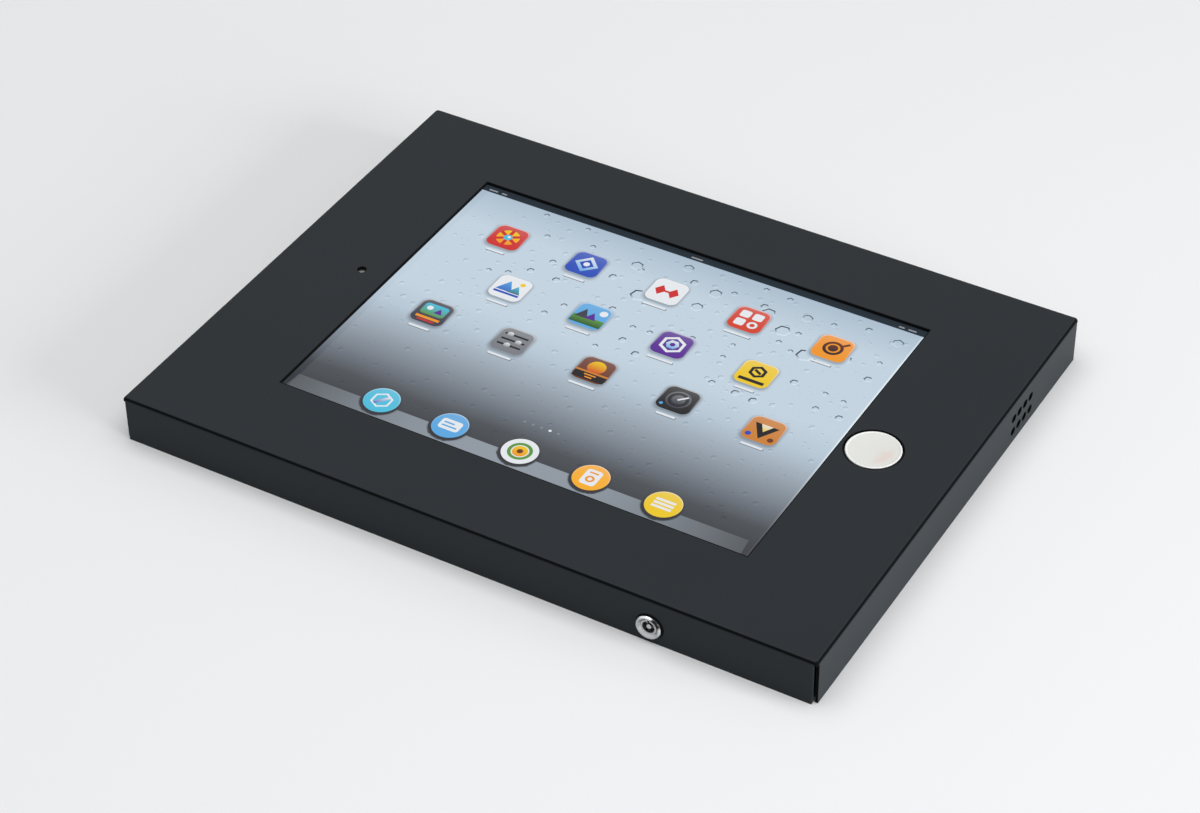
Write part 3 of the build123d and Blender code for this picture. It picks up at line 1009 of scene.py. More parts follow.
@dataclass(frozen=True)
class Mark:
    """One flat shape of the screen, in millimetres and degrees.

    Its colour may fade to another one at its foot, the quicker the larger its snap, and its middle
    may be left open.
    """

    stamp: Stamp
    x: float
    y: float
    width: float
    height: float
    colour: Colour
    turn: float = 0.0
    hole: float = 0.0
    foot: Optional[Colour] = None
    gloss: float = 0.0
    snap: float = 1.0

    def outline(self) -> list[Place]:
        """Lay out the outline about the origin, before its turn.

        Returns:
            Its corners.
        """
        half_x, half_y = self.width / 2, self.height / 2
        if self.stamp.value > 1:
            count = self.stamp.value
            angles = [math.pi / 2 + 2 * math.pi * index / count for index in range(count)]
            return [(half_x * math.cos(angle), half_y * math.sin(angle)) for angle in angles]
        radius = 0.22 * min(self.width, self.height) if self.stamp is Stamp.PLATE else 0.0
        corners = [(side_x * half_x, side_y * half_y, radius)
                   for side_x, side_y in ((1, -1), (1, 1), (-1, 1), (-1, -1))]
        return rounded(corners, closed=True, steps=6)

    def draw(self, shape: bmesh.types.BMesh, centre: Vector, level: float) -> None:
        """Add the shape as faces that look up.

        Args:
            shape: The shape to add to, with tint and gloss layers on its points.
            centre: Middle of the sign, in metres.
            level: Height of the faces.
        """
        tint = shape.verts.layers.float_color["tint"]
        gloss = shape.verts.layers.float["gloss"]
        angle = math.radians(self.turn)
        loops = []
        for share in (1.0, self.hole):
            loop = []
            for x, y in self.outline() if share > 0 else [(0.0, 0.0)]:
                across = share * (x * math.cos(angle) - y * math.sin(angle))
                up = share * (x * math.sin(angle) + y * math.cos(angle))
                place = (centre.x + (self.x + across) * MM, centre.y + (self.y + up) * MM, level)
                vert = shape.verts.new(place)
                rise = min(max(0.5 + self.snap * up / self.height, 0.0), 1.0)
                fade = zip(self.foot or self.colour, self.colour)
                vert[tint] = (*(low + (high - low) * rise for low, high in fade), 1.0)
                vert[gloss] = self.gloss * rise * rise
                loop.append(vert)
            loops.append(loop)
        outer, inner = loops
        for index in range(len(outer)):
            after = (index + 1) % len(outer)
            inside = (inner[0],) if len(inner) == 1 else (inner[after], inner[index])
            shape.faces.new((outer[index], outer[after], *inside))


def even(stamp: Stamp, x: float, y: float, size: float, colour: Colour, **more: Any) -> Mark:
    """Return a mark that is as high as it is wide."""
    return Mark(stamp, x, y, size, size, colour, **more)


disc, diamond, hexagon, tile_plate = (
    partial(even, stamp) for stamp in (Stamp.DISC, Stamp.DIAMOND, Stamp.HEXAGON, Stamp.PLATE))
bar, plate, triangle = (partial(Mark, stamp) for stamp in (Stamp.BAR, Stamp.PLATE, Stamp.TRIANGLE))


def tinted_shape() -> bmesh.types.BMesh:
    """Start a shape whose points carry a tint and a gloss.

    Returns:
        The shape.
    """
    shape = bmesh.new()
    shape.verts.layers.float_color.new("tint")
    shape.verts.layers.float.new("gloss")
    return shape


RED = linear(206, 38, 34)
AMBER = linear(242, 150, 26)
YELLOW = linear(240, 202, 22)
BLUE = linear(34, 76, 186)
SKY = linear(88, 168, 226)
CYAN = linear(74, 190, 222)
GREEN = linear(92, 150, 62)
PURPLE = linear(88, 34, 148)
BROWN = linear(108, 50, 24)
WHITE = linear(232, 236, 240)
GREY = linear(122, 126, 132)
SLATE = linear(58, 60, 74)
INK = linear(22, 20, 24)
COPPER = linear(206, 128, 44)


@dataclass(frozen=True)
class Tile:
    """One tile of the screen: its place from the screen's middle, its colour and its marks."""

    x: float
    y: float
    colour: Colour
    marks: tuple[Mark, ...]


def tile_rows() -> list[Tile]:
    """Lay out the three staggered rows of tiles.

    Returns:
        The tiles.
    """
    rows = (
        (48, -72, (
            (RED, (
                disc(0, 0, 9.6, YELLOW, foot=AMBER),
                *(bar(0, 0, 9.8, 1.5, RED, turn) for turn in (30, 90, 150)),
                disc(0, 0, 3.6, CYAN), disc(0.3, 0.4, 1.4, WHITE))),
            (BLUE, (diamond(0, 0, 10.4, WHITE, foot=SKY), diamond(0, 0, 6.4, BLUE), disc(0, 0, 2.6, WHITE))),
            (WHITE, (
                Mark(Stamp.DIAMOND, -2.9, 0, 4.6, 6.4, RED), Mark(Stamp.DIAMOND, 2.9, 0, 4.6, 6.4, RED),
                bar(0, 0, 3.4, 1.1, RED))),
            (linear(214, 62, 34), (
                *(tile_plate(x, y, 4.2, WHITE) for x, y in ((-2.7, 2.7), (2.7, 2.7), (-2.7, -2.7))),
                disc(2.7, -2.7, 4.2, WHITE, hole=0.5))),
            (AMBER, (
                disc(0, 0, 8.2, BROWN, foot=INK), disc(0, 0, 5.6, AMBER, hole=0.72),
                bar(3.6, 3.6, 3.8, 1.2, BROWN, 45))))),
        (20, -54, (
            (WHITE, (
                triangle(-1.8, -0.2, 8.4, 8.8, SKY, foot=BLUE),
                triangle(2.6, -0.9, 6.4, 6.6, CYAN, foot=SLATE),
                bar(0, -3.6, 11.0, 1.2, BLUE), disc(3.4, 3.9, 2.2, YELLOW))),
            (SKY, (
                bar(0, -3.4, 13.4, 4.6, GREEN, foot=linear(40, 84, 40)),
                triangle(-3.2, -0.3, 6.4, 7.4, SLATE),
                triangle(0.6, -0.6, 5.4, 5.8, PURPLE), disc(4.0, 3.4, 3.4, WHITE))),
            (PURPLE, (
                hexagon(0, 0, 10.6, WHITE, hole=0.74), hexagon(0, 0, 5.6, WHITE, foot=SKY, turn=30),
                hexagon(0, 0, 2.4, PURPLE))),
            (YELLOW, (
                hexagon(0, 1.2, 7.4, INK, hole=0.62), bar(0, -4.6, 10.6, 1.7, INK),
                bar(0, 1.2, 1.2, 3.6, INK, 60))))),
        (-8, -72, (
            (SLATE, (
                plate(0, 1.5, 10.4, 6.8, CYAN, foot=GREEN), disc(-2.4, 2.2, 2.6, WHITE),
                triangle(2.0, 1.0, 4.2, 4.4, PURPLE), bar(0, -3.9, 10.4, 1.4, AMBER),
                bar(0, -5.6, 7.4, 0.9, RED))),
            (GREY, (
                *(bar(0, y, 10.2, 1.0, INK) for y in (3.2, 0, -3.2)),
                *(disc(x, y, 2.7, WHITE, foot=GREY) for x, y in ((-2.8, 3.2), (2.4, 0), (-0.8, -3.2))))),
            (BROWN, (
                disc(0, 1.6, 7.4, YELLOW, foot=RED), bar(0, -2.0, 13.8, 1.0, COPPER),
                bar(0, -4.4, 13.4, 3.8, INK), bar(0, -3.6, 5.0, 0.7, AMBER), bar(0, -5.1, 3.0, 0.7, AMBER))),
            (INK, (
                disc(0, 0, 9.8, GREY, hole=0.84, foot=SLATE), disc(0, 0, 5.4, GREY, foot=SLATE),
                bar(1.3, 1.3, 4.4, 0.8, WHITE, 45), disc(-4.9, -4.6, 1.5, SKY))),
            (COPPER, (
                triangle(0, 0.2, 11.4, 11.0, INK, 180), triangle(0, 1.6, 5.6, 5.6, WHITE, 180, foot=YELLOW),
                disc(-4.6, -4.2, 2.4, BLUE), disc(4.6, -4.2, 2.4, BROWN))))),
    )
    return [Tile(first + 36 * order, y, colour, marks)
            for y, first, tiles in rows for order, (colour, marks) in enumerate(tiles)]


def dock_row() -> list[Tile]:
    """Lay out the round tiles of the dock.

    Returns:
        The tiles.
    """
    tiles = (
        (CYAN, (hexagon(0, 0, 8.8, WHITE, hole=0.8), bar(0, 0, 1.5, 6.6, WHITE, -40, foot=BLUE))),
        (SKY, (plate(0, 0.2, 8.6, 5.8, WHITE), bar(-0.9, 1.1, 4.4, 0.8, SKY), bar(0, -0.8, 6.2, 0.8, SKY))),
        (WHITE, (
            disc(0, 0, 9.6, GREEN, hole=0.72), disc(0, 0, 6.0, YELLOW, foot=AMBER), disc(0, 0, 2.4, BROWN))),
        (linear(250, 176, 30), (
            plate(0, 0, 6.4, 8.6, WHITE), disc(0, -0.9, 3.6, AMBER, hole=0.5), bar(0, 2.6, 3.6, 0.8, AMBER))),
        (YELLOW, tuple(bar(0, y, 8.0, 1.2, WHITE) for y in (2.0, 0, -2.0))),
    )
    return [Tile(-60 + 30 * order, -62.5, colour, marks) for order, (colour, marks) in enumerate(tiles)]


@dataclass(frozen=True)
class Outlines:
    """One size of outline on the wallpaper, dark above and light below, in millimetres."""

    name: str
    stamp: Stamp
    hole: float
    above: Colour
    below: Colour
    edges: tuple[float, float, float, float]
    sizes: Place
    spacing: float
    density: float


@dataclass
class Screen:
    """The picture on the lit display: wallpaper marks, tiles, dock, page dots and status strip."""

    low: Vector
    high: Vector
    tile_size: float = 14.2
    tile_rim: float = 0.9
    strip_height: float = 2.8
    # how far the status strip runs past the display's far edge, as painted shade over the bezel
    strip_shade_overlap: float = 0.9
    dock_height: float = 9.4
    dock_inset: float = 2.0
    dock_parts: int = 24
    shadow_drop: float = 0.8
    shadows: tuple[Place, ...] = ((2.6, 0.93), (1.8, 0.84), (1.0, 0.70), (0.3, 0.58))
    name_drop: float = 10.1
    dot_pitch: float = 3.6
    dot_y: float = -47.0
    outline_turn: float = 0.9
    outline_snap: float = 2.2
    above_dock: float = 13.0
    below_strip: float = 2.5
    layer_step: float = 0.012 * MM
    scatter_seed: int = 11
    ink: bpy.types.Material = field(init=False)
    marks: bpy.types.Material = field(init=False)

    def __post_init__(self) -> None:
        """Make the finishes of the lit shapes."""
        glow = ScreenGlow(self.low.y, self.high.y)
        dress(glow.build(), "tablet_display")
        self.ink = glow.build_ink()
        self.marks = glow.build_marks()

    @property
    def middle(self) -> Vector:
        """Middle of the display's face."""
        return Vector(((self.low.x + self.high.x) / 2, (self.low.y + self.high.y) / 2, self.high.z))

    @property
    def half(self) -> Place:
        """Half the display's width and height, in millimetres."""
        return ((self.high.x - self.low.x) / MM / 2, (self.high.y - self.low.y) / MM / 2)

    def level(self, layer: int) -> float:
        """Height of a layer of the picture."""
        return self.high.z + layer * self.layer_step

    def spot(self, x: float, y: float, layer: int = 0) -> Vector:
        """Return a place given in millimetres from the middle."""
        return Vector((self.middle.x + x * MM, self.middle.y + y * MM, self.level(layer)))

    def build(self) -> None:
        """Build every layer of the picture."""
        self.build_wallpaper()
        self.build_shades()
        self.build_bands()
        self.build_tiles()
        self.build_signs()

    def finish(self, name: str, mesh: bpy.types.Mesh, finish: bpy.types.Material) -> None:
        """Turn the faces up and add the layer to the scene.

        Args:
            name: Name of the piece.
            mesh: Its mesh.
            finish: Its finish.
        """
        shape = bmesh.new()
        shape.from_mesh(mesh)
        shape.normal_update()
        bmesh.ops.reverse_faces(shape, faces=[face for face in shape.faces if face.normal.z < 0])
        shape.to_mesh(mesh)
        shape.free()
        add(name, mesh, finish, "screen_glass", "wall_base")

    def build_wallpaper(self) -> None:
        """Scatter six-sided and four-sided outlines over the wallpaper."""
        half_x, half_y = self.half
        foot, head = self.above_dock - half_y, half_y - self.strip_height - self.below_strip
        dark, light = (0.05, 0.07, 0.10), (1.22, 1.22, 1.20)
        soft, pale = (0.56, 0.60, 0.65), (1.24, 1.23, 1.20)
        kinds = (
            Outlines("small_outlines", Stamp.HEXAGON, 0.66, soft, pale,
                     (3 - half_x, foot, half_x - 3, head), (1.3, 2.6), 4.6, 16000.0),
            Outlines("fine_outlines", Stamp.DIAMOND, 0.5, soft, pale,
                     (2 - half_x, foot, half_x - 2, head), (0.6, 1.2), 2.6, 40000.0),
            Outlines("middle_outlines", Stamp.HEXAGON, 0.64, dark, light,
                     (30 - half_x, half_y - 70, half_x - 4, head), (2.4, 3.8), 7.0, 9000.0),
            Outlines("large_outlines", Stamp.HEXAGON, 0.78, dark, pale,
                     (-30, half_y - 36, half_x - 6, head - 3), (4.6, 7.6), 11.0, 8000.0),
        )
        for order, kind in enumerate(kinds):
            outline = tinted_shape()
            mark = even(kind.stamp, 0, 0, 1.0, kind.above, hole=kind.hole, foot=kind.below,
                        snap=self.outline_snap)
            mark.draw(outline, Vector(), 0.0)
            region = bmesh.new()
            left, low, right, high = kind.edges
            region.faces.new([region.verts.new(self.spot(x, y, Layer.OUTLINES)) for x, y in (
                (left, low), (right, low), (right, high), (left, high))])
            mesh = repeated(kind.name, to_mesh("outline", outline, outward=False),
                            to_mesh("region", region, outward=False), self.marks, kind.sizes,
                            self.outline_turn, self.scatter_seed + order, (kind.spacing * MM, kind.density))
            for vert in mesh.vertices:
                vert.co.z = self.level(Layer.OUTLINES + order)
            self.finish(kind.name, mesh, self.marks)

    def build_shades(self) -> None:
        """Build the soft shadows below the tiles and a painted highlight along the right edge."""
        shape = tinted_shape()
        for tiles, stamp in ((tile_rows(), Stamp.PLATE), (dock_row(), Stamp.DISC)):
            for tile in tiles:
                centre = self.middle + Vector((tile.x, tile.y - self.shadow_drop, 0)) * MM
                for order, (grow, tone) in enumerate(self.shadows):
                    even(stamp, 0, 0, self.tile_size + grow, (tone, tone, tone)).draw(
                        shape, centre, self.level(Layer.SHADES + order))
        half_x, half_y = self.half
        # painted highlight: a glowing pale stripe along the display's right edge and just past it
        bar(half_x + 0.4, 0, 1.2, 2 * half_y, (1.42, 1.34, 1.26)).draw(
            shape, self.middle, self.level(Layer.EDGE_LIGHT))
        self.finish("tile_shadows", to_mesh("tile_shadows", shape, outward=False), self.marks)

    def build_bands(self) -> None:
        """Build the dock's band and the status strip."""
        bands = tinted_shape()
        self.draw_dock(bands)
        # the strip's far part is painted shade over the bezel beyond the display
        strip = Vector((self.middle.x, self.high.y - (self.strip_height - self.strip_shade_overlap) / 2 * MM, 0))
        bar(0.5, 0, 2 * self.half[0] + 1.2, self.strip_height + self.strip_shade_overlap, linear(44, 51, 59),
            foot=linear(44, 54, 62)).draw(bands, strip, self.level(Layer.SHADES))
        self.finish("screen_bands", to_mesh("screen_bands", bands, outward=False), self.ink)

    def draw_dock(self, shape: bmesh.types.BMesh) -> None:
        """Draw the dock's band, paler towards its middle, and narrower above and darker at its foot.

        Args:
            shape: The shape to add to.
        """
        tint = shape.verts.layers.float_color["tint"]
        half = (self.half[0] - self.dock_inset) * MM
        lean, height = 0.10 * self.dock_height * MM, self.dock_height * MM
        end, swell, foot = linear(88, 93, 98), linear(146, 155, 165), 0.80
        columns = []
        for index in range(self.dock_parts + 1):
            share = 2 * index / self.dock_parts - 1
            pale = (1 - abs(share) ** 2.2) ** 1.3
            colour = [low + (high - low) * pale for low, high in zip(end, swell)]
            column = []
            for rise, tone in ((0.0, foot), (0.25, 1.0), (1.0, 1.0)):
                x, y = self.middle.x + share * (half - lean * rise), self.low.y + height * rise
                vert = shape.verts.new((x, y, self.level(Layer.SHADES)))
                vert[tint] = (*(tone * part for part in colour), 1.0)
                column.append(vert)
            columns.append(column)
        for left, right in zip(columns, columns[1:]):
            for row in range(2):
                shape.faces.new((left[row], right[row], right[row + 1], left[row + 1]))

    def build_tiles(self) -> None:
        """Set the square tiles and the round dock tiles on their places, each with a light upper rim."""
        for name, stamp, tiles in (("square_tiles", Stamp.PLATE, tile_rows()),
                                   ("round_tiles", Stamp.DISC, dock_row())):
            face = tinted_shape()
            even(stamp, 0, 0, self.tile_size, WHITE, gloss=0.5).draw(face, Vector(), 0.0)
            even(stamp, 0, 0, self.tile_size - self.tile_rim, WHITE, gloss=0.08).draw(
                face, Vector(), self.layer_step)
            piece = to_mesh("tile", face, outward=False)
            piece.attributes.remove(piece.attributes["tint"])
            base = points_mesh(name, [self.spot(tile.x, tile.y, Layer.TILES) for tile in tiles],
                               [tile.colour for tile in tiles])
            self.finish(name, repeated(name, piece, base, self.ink), self.ink)

    def build_signs(self) -> None:
        """Build the marks on the tiles, the bars under them, the page dots and the status marks."""
        shape = tinted_shape()
        for tile in tile_rows() + dock_row():
            centre = self.middle + Vector((tile.x, tile.y, 0)) * MM
            for order, mark in enumerate(tile.marks):
                mark.draw(shape, centre, self.level(Layer.SIGNS + order))
        for order, tile in enumerate(tile_rows()):
            centre = self.middle + Vector((tile.x, tile.y - self.name_drop, 0)) * MM
            length = 8.0 + 3.0 * ((order * 5) % 4) / 3
            shade = plate(0.2, -0.3, length + 0.4, 1.3, linear(120, 128, 138))
            shade.draw(shape, centre, self.level(Layer.TILES))
            plate(0, 0, length, 1.1, linear(228, 233, 239)).draw(shape, centre, self.level(Layer.NAMES))
        half_x, half_y = self.half
        dots = [diamond(self.dot_pitch * (index - 2), self.dot_y, 1.5,
                        linear(240, 242, 244) if index == 3 else linear(132, 137, 144)) for index in range(5)]
        signs = [plate(x, half_y - 1.4, width, 0.8, linear(150, 155, 160)) for x, width in (
            (5 - half_x, 4.0), (10 - half_x, 2.4), (0, 5.0), (half_x - 9.5, 2.4), (half_x - 5, 3.4))]
        for mark in dots + signs:
            mark.draw(shape, self.middle, self.level(Layer.TILES))
        self.finish("screen_signs", to_mesh("screen_signs", shape, outward=False), self.ink)


@dataclass
class Tablet:
    """The tablet behind the cover."""

    dish: float = 0.22 * MM

    def build(self) -> None:
        """Dress the tablet's nodes and build its screen, lens and home button."""
        dress(Plating("tablet_aluminium", (0.62, 0.63, 0.65), 0.38, 0.2).build(), "tablet_shell")
        dress(Glass("white_glass", linear(236, 237, 236)).build(), "tablet_bezel")
        Screen(*box_of("tablet_display")).build()
        self.build_lens()
        self.build_button()

    def build_lens(self) -> None:
        """Turn the front camera's lens with its dark middle."""
        low, high = box_of("tablet_camera")
        spindle = Spindle.upright("tablet_camera")
        radius = (high.x - low.x) / 2
        hollow = ((0.72, 0.0), (0.62, 0.12), (0.3, 0.05), (0.0, 0.03))
        profile = [(0, low.z), (radius, low.z), (radius, high.z)]
        profile += [(share * radius, high.z - depth * MM) for share, depth in hollow]
        finish = Glass("lens_glass", linear(250, 250, 250), 0.04,
                       (spindle.origin.x, spindle.origin.y, 0.4 * radius)).build()
        add("camera_lens", to_mesh("camera_lens", spindle.turn(profile, closed=False, segments=48)),
            finish, "lens_glass", "wall_base", "tablet_camera")

    def build_button(self) -> None:
        """Turn the tablet's home button with its shallow dish."""
        low, high = box_of("tablet_home_button")
        radius = (high.x - low.x) / 2
        dish = [(radius * share, high.z - self.dish * (1 - share * share / 0.92))
                for share in (0.8, 0.6, 0.4, 0.2, 0.0)]
        rim = rounded([(radius, low.z, 0), (radius, high.z, 0.12 * MM), (0.95 * radius, high.z, 0.05 * MM),
                       dish[0] + (0,)], closed=False)
        spindle = Spindle.upright("tablet_home_button")
        shape = spindle.turn([(0, low.z)] + rim + dish[1:], closed=False, segments=72)
        add("home_key", to_mesh("home_key", shape), Glass("white_button", linear(232, 233, 232), 0.2).build(),
            "white_button", "home_key", "tablet_home_button")


@dataclass
class FrontCover:
    """The folded cover with the home button cap and the rubber strips under it, in millimetres."""

    stem_radius: float = 4.0
    lip_radius: float = 11.7
    lip_top: float = 1.35
    lip_bottom: float = 1.85
    cap_radius: float = 10.5
    rim_round: float = 0.28
    dish: float = 0.10
    strip_corner: float = 0.8
    strip_round: float = 0.2

    def build(self, coat: bpy.types.Material, rubber: bpy.types.Material) -> None:
        """Dress the cover and build its cap and strips.

        Args:
            coat: Powder coat.
            rubber: Rubber of the strips.
        """
        dress(coat, "front_cover")
        self.build_cap()
        strips = bmesh.new()
        for low, high in islands("front_rubber_strips"):
            add_block(strips, low, high, self.strip_corner * MM, self.strip_round * MM)
        add("cover_strips", to_mesh("cover_strips", strips), rubber, "black_rubber", "cover",
            "front_rubber_strips")

    def build_cap(self) -> None:
        """Turn the home button cap with its raised rim."""
        low, high = box_of("home_button_cap")
        spindle = Spindle.upright("home_button_cap")
        foot, top = low.z / MM, high.z / MM
        corners = [
            (0, foot, 0), (self.stem_radius, foot, 0.15), (self.stem_radius, top - self.lip_bottom, 0.0),
            (self.lip_radius, top - self.lip_bottom, 0.1), (self.lip_radius, top - self.lip_top, 0.1),
            (self.cap_radius, top - self.lip_top, 0.0), (self.cap_radius, top, self.rim_round),
            (9.9, top, 0.08), (9.7, top - self.dish, 0.08), (0, top - self.dish, 0),
        ]
        shape = spindle.turn(in_metres(rounded(corners, closed=False)), closed=False, segments=128)
        finish = CapPlastic((spindle.origin.x, spindle.origin.y), high.z).build()
        add("home_cap", to_mesh("home_cap", shape), finish, "white_cap_plastic", "home_cap",
            "home_button_cap")


@dataclass
class CamLock:
    """The tubular cam lock in the near side of the cover, in millimetres."""

    head_radius: float = 5.0
    body_radius: float = 4.0
    bore_radius: float = 3.15
    head_proud: float = 1.2
    body_length: float = 10.8
    thread_start: float = 4.5
    thread_stop: float = 0.4
    thread_pitch: float = 0.75
    thread_depth: float = 0.2
    post_radius: float = 1.05
    post_foot: float = 5.8
    post_nose: float = -0.2

    def build(self) -> None:
        """Dress the lock's nodes and turn its housing and post."""
        low, _ = box_of("lock_housing")
        middle = middle_of("lock_housing")
        face = Vector((middle.x, low.y + self.head_proud * MM, middle.z))
        spindle = Spindle(face, Vector((0, 1, 0)), RIGHT)
        axis, nickel_colour = (middle.x, middle.z), (0.52, 0.53, 0.55)
        nickel = Plating("nickel_plate", nickel_colour, 0.24, 0.2, axis).build()
        # head: crescent of painted shade to the upper right and a rim painted lighter as a highlight; plug:
        # painted shade in its keyway
        head = Plating("nickel_head", nickel_colour, 0.24, 0.2, axis, shade_ring=(3.15 * MM, 5.05 * MM),
                       ring_side=(0.70, 0.71), polish_and_highlight_from=4.5 * MM).build()
        plug = Plating("lock_plug_nickel", (0.50, 0.51, 0.53), 0.28, 0.2, axis,
                       shade_ring=(1.12 * MM, 2.35 * MM)).build()
        self.build_housing(spindle, head)
        self.build_thread(spindle, nickel)
        self.build_post(spindle, nickel)
        dress(plug, "lock_plug")
        dress(nickel, "lock_washer", "lock_nut")
        dress(Plating("lock_zinc", (0.58, 0.59, 0.60), 0.34, 0.5).build(), "cam_latch", "cam_screw")

    def build_housing(self, spindle: Spindle, finish: bpy.types.Material) -> None:
        """Turn the housing with its softly bevelled head.

        Args:
            spindle: The lock's axis.
            finish: Its finish.
        """
        head, body, bore = self.head_radius, self.body_radius - self.thread_depth, self.bore_radius
        corners = [
            (bore, -0.25, 0.08), (bore + 0.25, -0.45, 0.1), (head - 0.95, -self.head_proud, 0.28),
            (head - 0.42, -self.head_proud, 0.3), (head, -0.55, 0.3), (head, 0.0, 0.05), (body, 0.0, 0.0),
            (body, self.body_length, 0.15), (bore, self.body_length, 0.0),
        ]
        line = in_metres(rounded(corners, closed=True, steps=5))
        add("lock_barrel", to_mesh("lock_barrel", spindle.turn(line, closed=True, segments=128)), finish,
            "nickel_plate", "cover", "lock_housing")

    def build_thread(self, spindle: Spindle, finish: bpy.types.Material) -> None:
        """Wind the thread round the housing with a geometry tree.

        Args:
            spindle: The lock's axis.
            finish: Its finish.
        """
        tree = PieceTree("thread", dict.fromkeys(("Radius", "Turns", "Length", "Ridge"), "Float"))
        given = tree.given
        helix = tree.node("GeometryNodeCurveSpiral", {
            "Resolution": 40, "Rotations": given["Turns"], "Start Radius": given["Radius"],
            "End Radius": given["Radius"], "Height": given["Length"]})["Curve"]
        ridge = tree.node("GeometryNodeCurvePrimitiveCircle", {"Resolution": 4, "Radius": given["Ridge"]})
        tree.end(tree.node("GeometryNodeCurveToMesh", {
            "Curve": helix, "Profile Curve": ridge["Curve"], "Fill Caps": True})["Mesh"])
        length = self.body_length - self.thread_start - self.thread_stop
        mesh = tree.bake("lock_thread", bpy.data.meshes.new("thread_base"), finish,
                         Radius=(self.body_radius - self.thread_depth) * MM, Turns=length / self.thread_pitch,
                         Length=length * MM, Ridge=self.thread_depth * MM)
        side = spindle.along.cross(spindle.spoke)
        turn = Matrix((spindle.spoke, side, spindle.along)).transposed().to_4x4()
        mesh.transform(Matrix.Translation(spindle.origin + spindle.along * self.thread_start * MM) @ turn)
        shape = bmesh.new()
        shape.from_mesh(mesh)
        add("lock_thread", to_mesh("lock_thread", shape), finish, "nickel_plate", "cover")

    def build_post(self, spindle: Spindle, finish: bpy.types.Material) -> None:
        """Turn the round-nosed post in the middle of the keyway.

        Args:
            spindle: The lock's axis.
            finish: Its finish.
        """
        radius, foot, nose = self.post_radius, self.post_foot, self.post_nose
        corners = [(0, foot, 0), (radius, foot, 0.0), (radius, nose, 0.35), (0, nose, 0)]
        line = in_metres(rounded(corners, closed=False, steps=6))
        add("lock_pin", to_mesh("lock_pin", spindle.turn(line, closed=False, segments=48)), finish,
            "nickel_plate", "lock_core", "lock_post")


@dataclass
class WallTray:
    """The back plate with the strike bracket, cradles, pads and small screws, in millimetres."""

    foot_thickness: float = 3.0
    screw_places: tuple[Place, Place] = ((6.0, 20.0), (28.0, 4.0))
    screw_radius: float = 2.6
    screw_height: float = 1.7
    pad_corner: float = 2.5
    pad_round: float = 0.4
    rib_count: int = 5
    rib_height: float = 0.5
    rib_width: float = 2.2
    rib_margin: float = 2.0
    rib_sunk: float = 0.2

    def build(self, rubber: bpy.types.Material) -> None:
        """Dress the tray's nodes and build its pads and screws.

        Args:
            rubber: Rubber of the pads.
        """
        zinc = Plating("zinc_plated_steel", (0.60, 0.62, 0.63), 0.36, 1.0).build()
        sides = {"top_left": (-1, 1), "top_right": (1, 1), "bottom_left": (-1, -1), "bottom_right": (1, -1)}
        cradles = {f"cradle_{corner}": side for corner, side in sides.items()}
        dress(zinc, "back_plate", "strike_bracket")
        dress(Plating("rivet_aluminium", (0.76, 0.77, 0.78), 0.3, 0.3).build(), "strike_rivets")
        dress(Moulded("black_abs", linear(34, 35, 36), 0.5).build(), *cradles)
        self.build_pads(rubber)
        self.build_screws(cradles, zinc)

    def build_pads(self, rubber: bpy.types.Material) -> None:
        """Build the ribbed rubber pads behind the tablet.

        Args:
            rubber: Their finish.
        """
        shape = bmesh.new()
        margin = self.rib_margin * MM
        for low, high in islands("rear_rubber_pads"):
            body_top = high - Vector((0, 0, self.rib_height * MM))
            add_block(shape, low, body_top, self.pad_corner * MM, self.pad_round * MM)
            pitch = (high.x - low.x - 2 * margin) / self.rib_count
            for index in range(self.rib_count):
                start = low.x + margin + (index + 0.5) * pitch - self.rib_width / 2 * MM
                rib_low = Vector((start, low.y + margin, body_top.z - self.rib_sunk * MM))
                rib_high = Vector((start + self.rib_width * MM, high.y - margin, high.z))
                add_block(shape, rib_low, rib_high, 0.8 * MM, 0.2 * MM)
        add("rear_pads", to_mesh("rear_pads", shape), rubber, "black_rubber", "wall_base", "rear_rubber_pads")

    def build_screws(self, cradles: dict[str, Place], finish: bpy.types.Material) -> None:
        """Set two cross-recessed screws in the foot of each cradle.

        Args:
            cradles: The cradles, each with the sides that its outer corner lies on.
            finish: Finish of the screws.
        """
        places = []
        for name, (side_x, side_y) in cradles.items():
            low, high = box_of(name)
            corner_x = high.x if side_x > 0 else low.x
            corner_y = high.y if side_y > 0 else low.y
            places += [Vector((corner_x - side_x * x * MM, corner_y - side_y * y * MM,
                               low.z + self.foot_thickness * MM)) for x, y in self.screw_places]
        mesh = repeated("cradle_screws", self.screw_head(), points_mesh("screw_places", places), finish,
                        turn=1.5, seed=4)
        add("cradle_screws", mesh, finish, "zinc_plated_steel", "wall_base")

    def screw_head(self) -> bpy.types.Mesh:
        """Make one pan head with a cross recess, standing on the origin.

        Returns:
            Its mesh.
        """
        radius, height = self.screw_radius * MM, self.screw_height * MM
        dome = [(radius * share, height * (0.45 + 0.55 * math.sqrt(1 - share * share))) for share in
                (0.98, 0.9, 0.78, 0.64, 0.54, 0.46, 0.38, 0.3, 0.22, 0.15, 0.08, 0.0)]
        profile = [(0, 0), (radius, 0), (radius, 0.45 * height)] + dome
        shape = Spindle(Vector(), UP, RIGHT).turn(profile, closed=False, segments=48)
        for vert in shape.verts:
            narrow, wide = sorted((abs(vert.co.x), abs(vert.co.y)))
            if vert.co.z > 0.5 * height and narrow < 0.17 * radius and wide < 0.5 * radius:
                vert.co.z -= 0.5 * height
        return to_mesh("screw_head", shape)


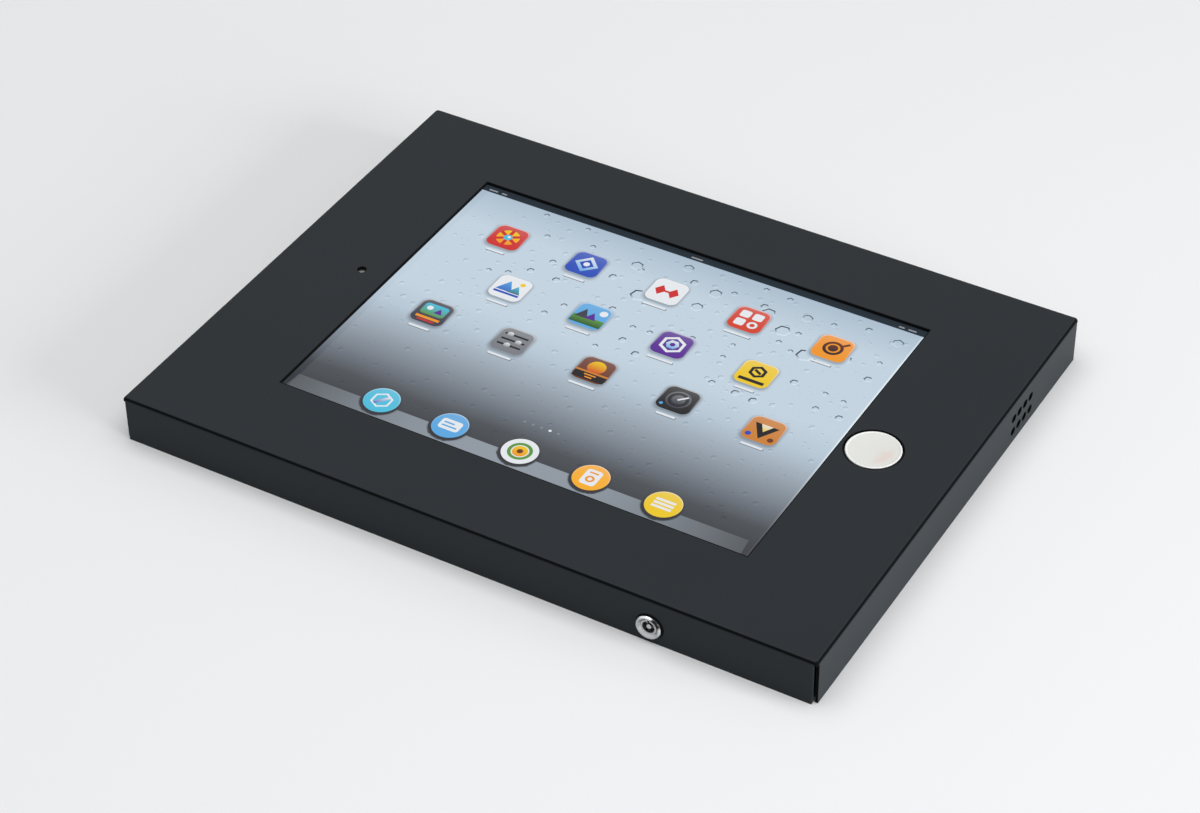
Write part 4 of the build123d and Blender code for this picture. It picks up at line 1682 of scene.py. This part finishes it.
@dataclass(frozen=True)
class Lamp:
    """A soft lamp that points at the mount: its place and sides in metres and its power in watts."""

    name: str
    place: tuple[float, float, float]
    size: Place
    power: float

    def hang(self) -> None:
        """Put the lamp into the scene."""
        data = bpy.data.lights.new(self.name, "AREA")
        data.shape = "RECTANGLE"
        data.size, data.size_y = self.size
        data.energy = self.power
        place = Vector(self.place)
        turn = (-place).to_track_quat("-Z", "Y").to_matrix().to_4x4()
        put(self.name, data).matrix_world = Matrix.Translation(place) @ turn


@dataclass
class Studio:
    """Camera, lamps, floor and backdrop."""

    eye: tuple[float, float, float] = (0.48174, -0.83172, 0.78069)
    forward: tuple[float, float, float] = (-0.390092, 0.668954, -0.632716)
    roll: float = -0.4555
    lens: float = 97.56
    floor_half: float = 6.0
    world_strength: float = 0.28
    backdrop_strength: float = 0.85
    lamps: tuple[Lamp, ...] = (
        Lamp("overhead", (0.0, -0.1, 2.2), (3.0, 2.0), 36.5),
        Lamp("right_side", (2.2, -0.1, 0.42), (1.6, 0.8), 53.0),
    )

    def build(self) -> None:
        """Build all of them."""
        self.build_camera()
        self.build_floor()
        self.build_world()
        for lamp in self.lamps:
            lamp.hang()

    def build_camera(self) -> None:
        """Set the camera where the photograph was taken from."""
        forward = Vector(self.forward).normalized()
        level = forward.cross(UP).normalized()
        angle = math.radians(self.roll)
        right = level * math.cos(angle) + level.cross(forward) * math.sin(angle)
        data = bpy.data.cameras.new("camera")
        data.lens = self.lens
        data.sensor_width = 36.0
        data.clip_start = 0.01
        camera = put("camera", data)
        turn = Matrix((right, right.cross(forward), -forward)).transposed().to_4x4()
        camera.matrix_world = Matrix.Translation(Vector(self.eye)) @ turn
        bpy.context.scene.camera = camera

    def build_floor(self) -> None:
        """Lay the floor that the mount lies on."""
        shape = bmesh.new()
        bmesh.ops.create_grid(shape, x_segments=2, y_segments=2, size=self.floor_half)
        mesh = to_mesh("floor", shape, outward=False)
        mesh.materials.append(FloorPaint(self.backdrop_strength).build())
        floor = put("floor", mesh)

    def build_world(self) -> None:
        """Fill the room with even pale light, and show camera, metal and glass a paler backdrop."""
        graph = Graph(bpy.data.worlds.new("studio"))
        camera, metal, glass = graph.several(
            "ShaderNodeLightPath", ("Is Camera Ray", "Is Glossy Ray", "Is Transmission Ray"))
        strength = graph.node("ShaderNodeMapRange", inputs={
            "Value": camera.larger(metal).larger(glass), "To Min": self.world_strength,
            "To Max": self.backdrop_strength})
        light = graph.node("ShaderNodeBackground", inputs={"Color": (1.0, 1.0, 1.0), "Strength": strength})
        bpy.context.scene.world = graph.end(light, "ShaderNodeOutputWorld")


def main() -> None:
    """Build the looks of the mount."""
    logging.basicConfig(level=logging.INFO, format="%(message)s")
    bpy.context.scene.view_settings.view_transform = "Standard"
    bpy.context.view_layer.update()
    Studio().build()
    _, high = box_of("front_cover")
    cap, lock = middle_of("home_button_cap"), middle_of("lock_housing")
    coat = PowderCoat(high.x, high.y, high.z, (cap.x, cap.y), (lock.x, lock.z)).build()
    rubber = Moulded("black_rubber", linear(26, 26, 27), 0.78, 0.6 * MM, 0.05 * MM, 0.3).build()
    FrontCover().build(coat, rubber)
    CamLock().build()
    Tablet().build()
    WallTray().build(rubber)


if __name__ == "__main__":
    main()
